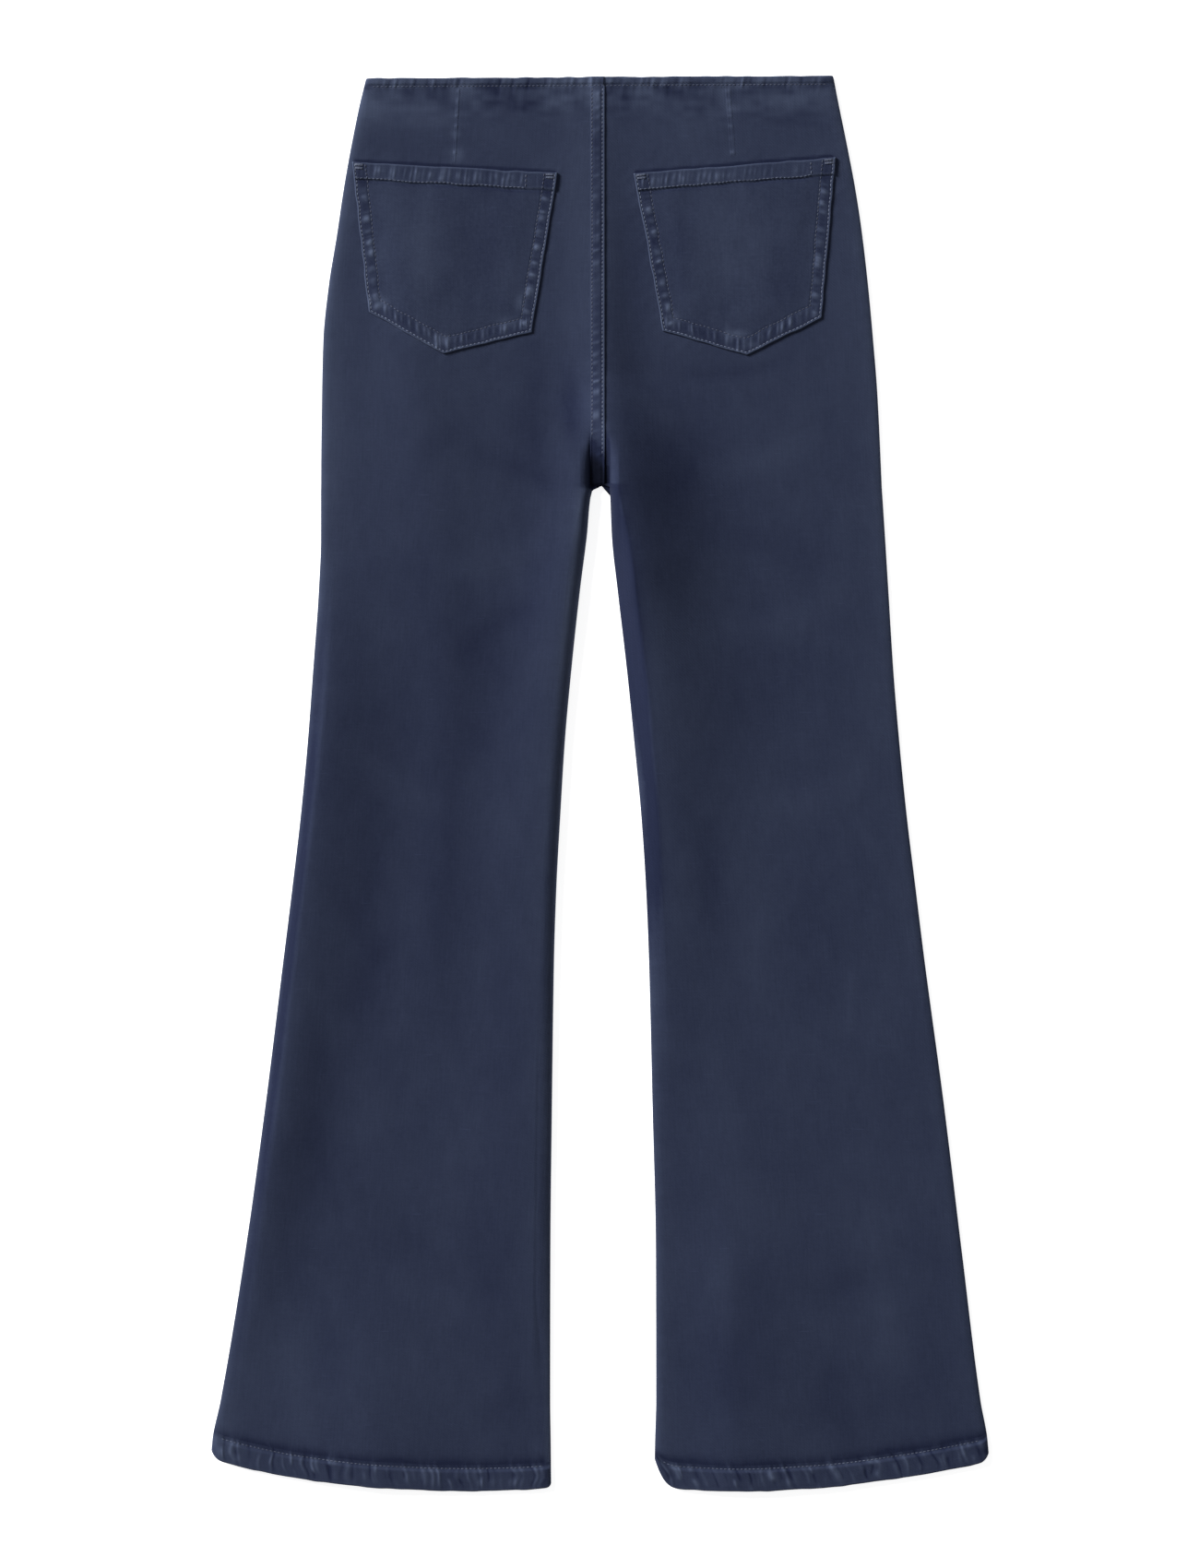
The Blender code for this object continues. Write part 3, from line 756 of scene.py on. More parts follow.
    def plain_noise(self, x: Array, drop: Array) -> Array:
        """Unevenness of cloth that lies free."""
        return sum(amount * MM * noise(x, drop) for amount, noise in self.noises)

    def height(self, rows: Rows, x: Array, drop: Array, inset: Array) -> Array:
        """Relief of a panel.

        Args:
            rows: The panel's rows.
            x: Place across.
            drop: Place down.
            inset: Distance from the inner edge.

        Returns:
            Height to add, in metres.
        """
        leg, from_side = rows.leg, rows.width - inset
        total = self.plain_noise(x, drop) + self.crease_height(x, drop)
        upper = rising(STRIP_END - drop, 0, 30)
        total += self.SEAM_PUCKER * self.seam_ripples[leg](drop) * fading(inset, 8) * upper
        total += self.INSEAM_PUCKER * self.inseam_ripples(drop) * fading(inset, 8) * (1 - upper)
        total += self.SIDE_PUCKER * self.side_ripples(drop) * fading(from_side, 8)
        near_waist, near_hem = rows.drops[:, 0] < self.NEAR_WAIST, rows.drops[:, 0] > LENGTH - self.NEAR_HEM
        total[near_waist] += self.edge_height(None, x[near_waist], drop[near_waist], rows.drops[near_waist])
        total[near_hem] += self.edge_height(leg, x[near_hem], drop[near_hem], LENGTH - rows.drops[near_hem])
        dart = DARTS[leg]
        off = np.abs(x - dart.x_at(drop))
        total += self.DART_PUCKER * self.dart_ripples(drop) * fading(off, 6) * falling(drop, 74, 8)
        pocket_zone = (drop > self.POCKET_ZONE[0]) & (drop < self.POCKET_ZONE[1])
        if pocket_zone.any():
            total[pocket_zone] += self.pocket_pull(leg, x[pocket_zone], drop[pocket_zone])
        return total

    def wash(self, x: Array, drop: Array) -> Array:
        """Garment wash and the painted light and shade of the broad folds: above zero paler, below zero deeper.

        Args:
            x: Place across.
            drop: Place down.

        Returns:
            Amount of wear and painted shading to add.
        """
        total = 0.04 * self.wash_noise(x, drop)
        total = total + 0.24 * self.waist_smudge(x, drop) * falling(drop, 46, 30)
        total = total + 0.16 * self.waist_streak(x, drop) * falling(drop, 34, 22)
        for patch in WASH_AND_SHADING:
            total = total + patch.amount * np.exp(-((x / MM - patch.x) / patch.across) ** 2
                                                  - ((drop / MM - patch.drop) / patch.along) ** 2)
        return total


@dataclass(frozen=True)
class Dart:
    """Sewn dart in the seat panel, from the waist edge to the pocket."""

    top_x: float
    low_x: float
    start: float = 7.9 * MM
    end: float = 67 * MM
    half: float = 1.5 * MM
    proud: float = 0.36 * MM

    def x_at(self, drop: Array) -> Array:
        """x of the dart's line at a drop."""
        return self.top_x + (self.low_x - self.top_x) * (drop - self.start) / (self.end - self.start)


DARTS = {Leg.LEFT: Dart(-107.5 * MM, -110.6 * MM),
         Leg.RIGHT: Dart(97.0 * MM, 101.0 * MM, end=63 * MM, half=2.3 * MM, proud=0.28 * MM)}


class PocketShape:
    """Edges of a patch pocket, and distances from them."""

    PULL = 0.55 * MM             # how far sewing pulls the patch out of true
    EDGES = {
        "mouth": ("mouth_inner", "mouth_outer"),
        "inner": ("mouth_inner", "base_inner"),
        "outer": ("mouth_outer", "base_outer"),
        "low_inner": ("base_inner", "point"),
        "low_outer": ("point", "base_outer"),
    }
    START_SHARE = 0.012          # how far from the mouth to the middle the rows of stitching begin
    _made: dict[Leg, "PocketShape"] = {}

    def __init__(self, leg: Leg) -> None:
        """Read the leg's plan.

        Args:
            leg: The leg.
        """
        plan = POCKETS[leg]
        self.corners = {name: np.array(getattr(plan, name)) * MM for name in PocketPlan._fields[:5]}
        self.share = plan.share
        self.centre = sum(self.corners.values()) / 5
        self.waver_x, self.waver_drop = Unevenness(91 + leg.value, 9, 9), Unevenness(95 + leg.value, 9, 9)

    @classmethod
    def of(cls, leg: Leg) -> "PocketShape":
        """The leg's pocket shape, made once."""
        return cls._made.setdefault(leg, cls(leg))

    def wavered(self, x: Array, drop: Array) -> tuple[Array, Array]:
        """Place of a point once sewing has pulled the patch a little out of true."""
        return x + self.PULL * self.waver_x(x, drop), drop + self.PULL * self.waver_drop(x, drop)

    def line(self, name: str) -> tuple[Array, Array, Array]:
        """An edge as its first corner, its direction and the way in from it."""
        start, end = (self.corners[corner] for corner in self.EDGES[name])
        run = (end - start) / np.hypot(*(end - start))
        normal = np.array([-run[1], run[0]])
        return start, run, normal if (self.centre - start) @ normal > 0 else -normal

    def distances(self, x: Array, drop: Array) -> dict[str, Array]:
        """Distance in from the mouth, the inner and outer side, and both lower edges."""
        found = {}
        for name in self.EDGES:
            start, _, inward = self.line(name)
            found[name] = (x - start[0]) * inward[0] + (drop - start[1]) * inward[1]
        return found

    def outside(self, x: Array, drop: Array) -> Array:
        """How far outside the pocket a place lies, or 0 within it."""
        return np.maximum(-np.minimum.reduce(list(self.distances(x, drop).values())), 0.0)

    def place(self, across: Array, down: Array) -> tuple[Array, Array]:
        """x and drop of a place on the patch.

        Args:
            across: From its inner side, 0, to its outer side, 1.
            down: From its mouth, 0, to its lower edge, 1.

        Returns:
            x and drop.
        """
        c = self.corners
        near = np.clip(across / self.share, 0, 1)[..., None]
        far = np.clip((across - self.share) / (1 - self.share), 0, 1)[..., None]
        base = np.where(across[..., None] < self.share, c["base_inner"] + (c["point"] - c["base_inner"]) * near,
                        c["point"] + (c["base_outer"] - c["point"]) * far)
        mouth = c["mouth_inner"] + (c["mouth_outer"] - c["mouth_inner"]) * across[..., None]
        at = mouth + (base - mouth) * down[..., None]
        return at[..., 0], at[..., 1]

    def row(self, in_from_sides: float, in_from_base: float) -> Array:
        """Line of stitching that runs down one side, round the point and up the other side.

        Args:
            in_from_sides: Distance in from the two sides.
            in_from_base: Distance in from the two lower edges.

        Returns:
            Its corners as rows of (x, drop).
        """
        corner, run, _ = self.line("mouth")
        lines = [(corner + (self.centre - corner) * self.START_SHARE, run)]
        for name, distance in (("inner", in_from_sides), ("low_inner", in_from_base), ("low_outer", in_from_base),
                               ("outer", in_from_sides)):
            corner, run, inward = self.line(name)
            lines.append((corner + inward * distance, run))
        return np.array([crossing(first, second) for first, second in zip(lines, lines[1:] + lines[:1])])


def crossing(first: tuple[Array, Array], second: tuple[Array, Array]) -> Array:
    """Point where two lines cross, each given by a point and a direction."""
    (a, u), (b, v) = first, second
    share = np.linalg.solve(np.array([u, -v]).T, b - a)[0]
    return a + u * share


# ---------------------------------------------------------------- meshes
@dataclass
class ClothMesh:
    """Points, faces, weave directions, and wear and painted shading of one piece, on their way into a mesh."""

    points: Array
    faces: list[Sequence[int]]
    grain: Array
    wear: Array

    def build(self, name: str, finish: Material, slot: str, *nodes: str) -> Piece:
        """Make the piece, with its faces pointing outwards, and let it ride on the garment.

        Args:
            name: Name of the piece.
            finish: Its material.
            slot: The CAD material that it stands for; not used.
            nodes: The CAD nodes that it takes the place of.

        Returns:
            The piece.
        """
        if self.signed_volume() < 0:
            self.faces = [face[::-1] for face in self.faces]
        mesh = bpy.data.meshes.new(name)
        mesh.from_pydata(self.points.tolist(), [], self.faces)
        corners = np.empty(len(mesh.loops), dtype=np.int32)
        mesh.loops.foreach_get("vertex_index", corners)
        layer = mesh.uv_layers.new(name="grain")
        layer.data.foreach_set("uv", self.grain[corners].astype(np.float32).ravel())
        attribute = mesh.attributes.new("wear", "FLOAT", "POINT")
        attribute.data.foreach_set("value", self.wear.astype(np.float32))
        mesh.materials.append(finish)
        mesh.update()
        piece = bpy.data.objects.new(name, mesh)
        bpy.context.scene.collection.objects.link(piece)
        bpy.ops.object.select_all(action="DESELECT")
        piece.select_set(True)
        bpy.context.view_layer.objects.active = piece
        bpy.ops.object.shade_smooth_by_angle(angle=SMOOTH_ANGLE)
        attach(piece, "root")
        if nodes:
            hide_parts(*nodes)
        log.info("%s: %d faces", name, len(mesh.polygons))
        return piece

    def signed_volume(self) -> float:
        """Work out the volume of the closed mesh.

        Returns:
            The volume, below zero if its faces point inwards.
        """
        total = 0.0
        for count in {len(face) for face in self.faces}:
            loops = np.array([face for face in self.faces if len(face) == count])
            a = self.points[loops[:, 0]]
            for k in range(1, count - 1):
                total += float(np.einsum("ij,ij->i", a, np.cross(self.points[loops[:, k]],
                                                                 self.points[loops[:, k + 1]])).sum())
        return total / 6


def spread(x: Array, drop: Array, z: Array) -> Array:
    """Points in the row frame from places on the cloth."""
    return np.stack([x, LENGTH / 2 - drop, z], axis=-1)


def weave(x: Array, drop: Array) -> Array:
    """Weave coordinates of cloth that is cut along the garment."""
    return np.stack([x, LENGTH - drop], axis=-1)


def rounded_rim(from_edge: Array, thickness: float) -> Array:
    """Thickness of a sewn-on layer near its turned edge."""
    share = np.clip(from_edge / RIM_ROUNDING, 0.0, 1.0)
    return thickness * (0.35 + 0.65 * np.sqrt(1 - (1 - share) ** 2))


def thin_shell(outer: Array, inner: Array, grain: Array, wear: Array, stride: int) -> ClothMesh:
    """Closed thin shell from a fine outer face and a coarser inner face.

    Args:
        outer: Rows by columns of points; rows run down the garment and columns along +x.
        inner: The inner face's points for the same grid.
        grain: Weave coordinates of the outer points.
        wear: Wear and painted shading of the outer points.
        stride: The inner face keeps every point of this many.

    Returns:
        The mesh data.
    """
    rows, columns = outer.shape[:2]
    fine = np.arange(rows * columns).reshape(rows, columns)
    kept = inner[::stride, ::stride]
    coarse = rows * columns + np.arange(kept.shape[0] * kept.shape[1]).reshape(kept.shape[:2])
    faces: list[Sequence[int]] = []
    for grid, turned in ((fine, False), (coarse, True)):
        corners = [grid[:-1, :-1], grid[1:, :-1], grid[1:, 1:], grid[:-1, 1:]]
        faces += np.stack(corners[::-1] if turned else corners, axis=-1).reshape(-1, 4).tolist()
    for edge, rim, turned in ((fine[0], coarse[0], False), (fine[-1], coarse[-1], True),
                              (fine[:, 0], coarse[:, 0], True), (fine[:, -1], coarse[:, -1], False)):
        for k in range(len(rim) - 1):
            face = [int(rim[k]), *edge[k * stride:(k + 1) * stride + 1].tolist(), int(rim[k + 1])]
            faces.append(face[::-1] if turned else face)
    return ClothMesh(
        np.concatenate([outer.reshape(-1, 3), kept.reshape(-1, 3)]), faces,
        np.concatenate([grain.reshape(-1, 2), grain[::stride, ::stride].reshape(-1, 2)]),
        np.concatenate([wear.ravel(), wear[::stride, ::stride].ravel()]))


def closed_ring(points: Array, grain: Array, wear: Array) -> ClothMesh:
    """Closed tube whose wall closes on itself both ways, from stations by stops of points."""
    rows, columns = points.shape[:2]
    index = np.arange(rows * columns).reshape(rows, columns)
    down, right = np.roll(index, -1, axis=0), np.roll(index, -1, axis=1)
    faces = np.stack([index, down, np.roll(down, -1, axis=1), right], axis=-1).reshape(-1, 4).tolist()
    return ClothMesh(points.reshape(-1, 3), faces, grain.reshape(-1, 2), wear.ravel())


def edge_stops(length: float, step: float, close: Sequence[float], stride: int) -> Array:
    """Stops along a length, dense at both ends.

    Args:
        length: The whole length.
        step: Usual step in between.
        close: Distances of the dense stops from an end, from 0 up.
        stride: The number of steps is made a multiple of this.

    Returns:
        Stops from 0 to length.
    """
    count = max(int((length - 2 * close[-1]) / step), 2)
    while (count + 2 * (len(close) - 1)) % stride:
        count += 1
    middle = np.linspace(close[-1], length - close[-1], count + 1)
    return np.concatenate([close[:-1], middle, length - np.array(close[:-1])[::-1]])


def panel_top(lie: Lie, leg: Leg, x: Array, drop: Array) -> Array:
    """Top of a leg's back panel, without its small relief, at scattered places."""
    rows = Rows(lie, leg, drop.ravel())
    inset = np.maximum(rows.inset_of(x.ravel()[:, None]), 0.0)
    return rows.height_at(inset).reshape(x.shape)


def rim_angles(inner: Array, angles: Array, between: int) -> Array:
    """Angle round the rim at every point of a panel.

    Args:
        inner: Angles of each row at the inner edge.
        angles: Angles at the side, from the rim in.
        between: Number of level points in the middle.

    Returns:
        Rows by columns of angles.
    """
    count = len(inner)
    side = np.repeat(math.pi - angles[None, ::-1], count, axis=0)
    return np.concatenate([inner, np.full((count, between), LEVEL), side], axis=1)


def panel_shell(rows: Rows, inset: Array, angle: Array, face: Array, thickness: float, wear: Array,
                stride: int) -> ClothMesh:
    """Closed sheet of one leg from the height of its visible face.

    Args:
        rows: The panel's rows.
        inset: Distance of every point from the inner edge.
        angle: Its angle round the rim.
        face: Its height.
        thickness: How far over the visible face, square to it, the hidden one lies.
        wear: Its wear and painted shading.
        stride: The hidden face keeps every point of this many.

    Returns:
        The mesh data, with columns that run along +x.
    """
    x, drop = rows.x_at(inset), rows.drop_at(inset)
    within = inset + WALL * np.cos(angle)
    hidden = spread(rows.x_at(within), rows.drop_at(within), face + thickness * np.sin(angle))
    parts = (spread(x, drop, face), hidden, weave(x - rows.grain_axis(), drop), wear)
    if rows.leg is Leg.LEFT:
        parts = tuple(part[:, ::-1] for part in parts)
    return thin_shell(*parts, stride)


# ---------------------------------------------------------------- finishes
class Nodes:
    """Short way to add and join the nodes of one shader tree."""

    def __init__(self, tree: bpy.types.NodeTree) -> None:
        """Keep the tree and clear it."""
        self.tree = tree
        tree.nodes.clear()

    def add(self, kind: str, **settings: object) -> bpy.types.Node:
        """Add a node and set its properties."""
        node = self.tree.nodes.new(kind)
        for name, value in settings.items():
            setattr(node, name, value)
        return node

    def feed(self, socket: Value, value: object) -> None:
        """Link a socket, or set its plain value."""
        if isinstance(value, Value):
            self.tree.links.new(value, socket)
        elif value is not None:
            socket.default_value = value

    def math(self, operation: str, a: object, b: object = None) -> Value:
        """Result of one Math node."""
        node = self.add("ShaderNodeMath", operation=operation)
        self.feed(node.inputs[0], a)
        self.feed(node.inputs[1], b)
        return node.outputs[0]

    def weighted(self, *terms: tuple[object, object]) -> Value:
        """Sum of values, each times its weight."""
        parts = [self.math("MULTIPLY", value, weight) for value, weight in terms]
        total = parts[0]
        for part in parts[1:]:
            total = self.math("ADD", total, part)
        return total

    def wave(self, at: object, per_turn: object) -> Value:
        """Sine of a place times its angle for each metre."""
        return self.math("SINE", self.math("MULTIPLY", at, per_turn))

    def vector(self, operation: str, a: object, b: object) -> Value:
        """Result of one Vector Math node."""
        node = self.add("ShaderNodeVectorMath", operation=operation)
        self.feed(node.inputs[0], a)
        self.feed(node.inputs[1], b)
        return node.outputs["Value" if operation == "DOT_PRODUCT" else "Vector"]

    def noise(self, at: object, scale: float, detail: float = 2.0, roughness: float = 0.5,
              stretch: tuple[float, float, float] | None = None) -> Value:
        """Value of a Noise Texture, drawn out where stretch is below 1."""
        node = self.add("ShaderNodeTexNoise")
        self.feed(node.inputs["Vector"], self.vector("MULTIPLY", at, stretch) if stretch else at)
        for name, value in (("Scale", scale), ("Detail", detail), ("Roughness", roughness)):
            node.inputs[name].default_value = value
        return node.outputs[0]

    def swing(self, *settings: object, **more: object) -> Value:
        """The same noise, about zero."""
        return self.math("SUBTRACT", self.noise(*settings, **more), 0.5)

    def fit(self, value: object, low: float, high: float, to_low: float, to_high: float) -> Value:
        """Value moved from one range to another, held at its ends."""
        node = self.add("ShaderNodeMapRange", interpolation_type="SMOOTHSTEP")
        for socket, given in zip(node.inputs, (value, low, high, to_low, to_high)):
            self.feed(socket, given)
        return node.outputs["Result"]

    def blend(self, factor: object, a: object, b: object, kind: str = "MIX") -> Value:
        """Colour from one Mix node."""
        node = self.add("ShaderNodeMix", data_type="RGBA", blend_type=kind)
        self.feed(node.inputs[0], factor)
        self.feed(node.inputs[6], a)
        self.feed(node.inputs[7], b)
        return node.outputs[2]


class EffectGroup:
    """Node group with named inputs and outputs, built once and placed in each material."""

    name = "effect"
    inputs: dict[str, float | None] = {}     # a plain value, or None for a place
    outputs: tuple[str, ...] = ()

    def tree(self) -> bpy.types.NodeTree:
        """Build the group the first time that it is placed.

        Returns:
            Its tree.
        """
        found = bpy.data.node_groups.get(self.name)
        if found:
            return found
        tree = bpy.data.node_groups.new(self.name, "ShaderNodeTree")
        for name, value in self.inputs.items():
            kind = "NodeSocketVector" if value is None else "NodeSocketFloat"
            made = tree.interface.new_socket(name=name, in_out="INPUT", socket_type=kind)
            if value is not None:
                made.default_value = value
        for name in self.outputs:
            tree.interface.new_socket(name=name, in_out="OUTPUT", socket_type="NodeSocketFloat")
        nodes = Nodes(tree)
        self.fill(nodes, nodes.add("NodeGroupInput").outputs, nodes.add("NodeGroupOutput").inputs)
        return tree

    def fill(self, nodes: Nodes, given: Sockets, out: Sockets) -> None:
        """Build the group's nodes.

        Args:
            nodes: The tree's nodes.
            given: The group's inputs.
            out: The group's outputs.
        """
        raise NotImplementedError

    def place(self, nodes: Nodes, **values: object) -> Sockets:
        """Put the group in a material with its own values, and give its outputs."""
        node = nodes.add("ShaderNodeGroup")
        node.node_tree = self.tree()
        for name, value in values.items():
            nodes.feed(node.inputs[name.replace("_", " ")], value)
        return node.outputs


class TwillWeave(EffectGroup):
    """Twill wales, uneven yarn and stray slubs, along the grain of the cloth."""

    name = "twill_weave"
    inputs = {"Grain": None, "Wales per metre": 1150.0, "Slub": 1.0, "Fleck": 1.0}
    outputs = ("Threads", "Height")

    def fill(self, nodes: Nodes, given: Sockets, out: Sockets) -> None:
        """Wales run up to the right at 62 degrees; yarn is uneven along the warp; slubs lie along the weft."""
        grain, slub = given["Grain"], given["Slub"]
        lean = (math.cos(TWILL_LEAN), math.sin(TWILL_LEAN))
        across = nodes.vector("DOT_PRODUCT", grain, (lean[1], -lean[0], 0.0))
        along = nodes.vector("DOT_PRODUCT", grain, (*lean, 0.0))
        per_turn = nodes.math("MULTIPLY", given["Wales per metre"], 2 * math.pi)
        wobble = nodes.math("MULTIPLY", nodes.noise(grain, 160, 2), 1.6)
        wale = nodes.math("SINE", nodes.math("ADD", nodes.math("MULTIPLY", across, per_turn), wobble))
        float_yarn = nodes.wave(nodes.math("MULTIPLY", along, per_turn), 0.55)
        twill = nodes.weighted((wale, 0.7), (float_yarn, 0.3))
        yarn = nodes.math("MULTIPLY", nodes.swing(grain, 820, 3, 0.6, stretch=(1.0, 0.055, 1.0)), slub)
        pick = nodes.math("MULTIPLY", nodes.swing(grain, 900, 2, 0.5, stretch=(0.07, 1.0, 1.0)), slub)
        fleck = nodes.noise(grain, 620, 1, stretch=(0.085, 1.0, 1.0))
        fleck = nodes.math("MULTIPLY", nodes.fit(fleck, 0.70, 0.80, 0.0, 1.0), given["Fleck"])
        threads = nodes.weighted((twill, 0.22), (yarn, 1.5), (pick, 0.8))
        nodes.feed(out["Threads"], nodes.math("ADD", threads, fleck))
        nodes.feed(out["Height"], nodes.weighted((twill, 0.5), (yarn, 1.4), (pick, 0.7)))


class GarmentWash(EffectGroup):
    """Mottled dye of a garment that was washed after it was sewn, added to the wear and painted light and shade of
    each piece; paler where it rubs.
    """

    name = "garment_wash"
    inputs = {"Place": None, "Wear": 0.0, "Mottle": 1.0, "Base": 0.3}
    outputs = ("Fade", "Fuzz")

    def fill(self, nodes: Nodes, given: Sockets, out: Sockets) -> None:
        """Three sizes of mottling, added to the wear and painted shading."""
        place = given["Place"]
        speck = nodes.swing(place, 420, 3, 0.7)
        mottle = nodes.weighted((nodes.swing(place, 26, 3, 0.6), 0.09),
                                (nodes.swing(place, 95, 3, 0.6, stretch=(1.0, 0.45, 1.0)), 0.11), (speck, 0.15))
        mottle = nodes.math("MULTIPLY", mottle, given["Mottle"])
        # fade: how pale the dye shows, from mottling and from the piece's wear and painted light and shade
        fade = nodes.math("ADD", nodes.math("ADD", given["Base"], mottle), given["Wear"])
        nodes.feed(out["Fade"], nodes.math("MAXIMUM", nodes.math("MINIMUM", fade, 1.6), 0.0))
        nodes.feed(out["Fuzz"], speck)


class SewnMaterial(Nodes):
    """A new material, with the weave coordinates, place, and wear and painted shading of its piece at hand."""

    def __init__(self, name: str, tone: Colour) -> None:
        """Make the material with a plain shader.

        Args:
            name: Name of the material.
            tone: Its colour in plain views.
        """
        self.material = bpy.data.materials.new(name)
        self.material.use_nodes = True
        self.material.diffuse_color = tone
        super().__init__(self.material.node_tree)
        self.shader = self.add("ShaderNodeBsdfPrincipled")
        self.feed(self.add("ShaderNodeOutputMaterial").inputs["Surface"], self.shader.outputs["BSDF"])
        self.grain = self.add("ShaderNodeUVMap", uv_map="grain").outputs["UV"]
        self.place = self.add("ShaderNodeTexCoord").outputs["Object"]
        self.wear = self.add("ShaderNodeAttribute", attribute_name="wear").outputs["Fac"]

    def shade(self, **values: object) -> None:
        """Feed the shader's inputs by name."""
        for name, value in values.items():
            self.feed(self.shader.inputs[name.replace("_", " ")], value)

    def bump(self, height: object, strength: float, distance: float) -> None:
        """Let the shader's normal follow a height."""
        node = self.add("ShaderNodeBump")
        for name, value in (("Height", height), ("Strength", strength), ("Distance", distance)):
            self.feed(node.inputs[name], value)
        self.shade(Normal=node.outputs["Normal"])


@dataclass(frozen=True)
class DenimFinish:
    """Garment-dyed navy denim."""

    name: str
    deep: Colour = (0.0108, 0.0146, 0.0358, 1.0)
    pale: Colour = (0.0650, 0.0822, 0.1340, 1.0)
    sheen: Colour = (0.55, 0.68, 1.0, 1.0)
    base: float = 0.225
    mottle: float = 1.0
    wear: float = 0.60
    slub: float = 1.0
    fleck: float = 1.0
    wales_per_metre: float = 1150.0
    contrast: float = 0.20
    roughness: float = 0.86
    bump_distance: float = 0.00016
    bump_strength: float = 0.55

    def build(self) -> Material:
        """Make the material.

        Returns:
            A material that reads the piece's weave coordinates, and wear and painted shading.
        """
        made = SewnMaterial(self.name, self.deep)
        weave = TwillWeave().place(made, Grain=made.grain, Wales_per_metre=self.wales_per_metre, Slub=self.slub,
                                   Fleck=self.fleck)
        wash = GarmentWash().place(made, Place=made.place, Wear=made.math("MULTIPLY", made.wear, self.wear),
                                   Mottle=self.mottle, Base=self.base)
        light = made.math("ADD", made.math("MULTIPLY", weave["Threads"], self.contrast), 1.0)
        # painted shade: where the wear and shading value is very low, deep in the fork, the colour is darkened to 0.3
        light = made.math("MULTIPLY", light, made.fit(made.wear, -2.2, -0.8, 0.30, 1.0))
        spun_and_shaded = made.add("ShaderNodeCombineColor")
        for channel in range(3):
            made.feed(spun_and_shaded.inputs[channel], light)
        # the dye's deep and pale colours, mixed by a paleness that carries painted light and shade
        dyed = made.blend(wash["Fade"], self.deep, self.pale)
        rough = made.math("ADD", made.math("MULTIPLY", wash["Fuzz"], 0.12), self.roughness)
        made.shade(Base_Color=made.blend(1.0, dyed, spun_and_shaded.outputs[0], "MULTIPLY"), Roughness=rough,
                   Specular_IOR_Level=0.06, Sheen_Weight=0.04, Sheen_Tint=self.sheen, Sheen_Roughness=0.45)
        height = made.math("ADD", weave["Height"], made.math("MULTIPLY", wash["Fuzz"], 0.6))
        made.bump(height, self.bump_strength, self.bump_distance)
        return made.material


@dataclass(frozen=True)
class ThreadFinish:
    """Navy sewing thread, a tone lighter than the cloth."""

    name: str = "navy_thread"
    dark: Colour = (0.022, 0.029, 0.057, 1.0)
    light: Colour = (0.115, 0.138, 0.210, 1.0)
    plies_per_metre: float = 1500.0
    roughness: float = 0.6
    bump_distance: float = 0.0001
    bump_strength: float = 0.4

    def build(self) -> Material:
        """Make the material, with the twist of its plies.

        Returns:
            A material that reads the thread's own coordinates and wear.
        """
        made = SewnMaterial(self.name, self.light)
        turn = made.vector("DOT_PRODUCT", made.grain, (1.0, 1.0, 0.0))
        ply = made.wave(turn, 2 * math.pi * self.plies_per_metre)
        worn = made.noise(made.place, 240, 2)
        factor = made.math("ADD", made.weighted((ply, 0.14), (worn, 0.25)), made.wear)
        made.shade(Base_Color=made.blend(factor, self.dark, self.light),
                   Roughness=made.fit(worn, 0.3, 0.7, self.roughness + 0.1, self.roughness))
        made.bump(ply, self.bump_strength, self.bump_distance)
        return made.material


@dataclass
class Finishes:
    """All finishes of the garment, built once."""

    body: Material = field(default_factory=lambda: DenimFinish("body_denim").build())
    pocket: Material = field(
        default_factory=lambda: DenimFinish("pocket_denim", base=0.24, fleck=1.2, mottle=1.8).build())
    seam: Material = field(
        default_factory=lambda: DenimFinish("seam_denim", base=0.245, wear=0.72, slub=0.8, fleck=0.4).build())
    thread: Material = field(default_factory=lambda: ThreadFinish().build())


# ---------------------------------------------------------------- sub-assemblies
@dataclass
class SubAssembly:
    """What every sub-assembly is made from."""

    lie: Lie
    relief: Relief
    finishes: Finishes


@dataclass
class LegPiece(SubAssembly):
    """Sub-assembly of one leg."""

    leg: Leg


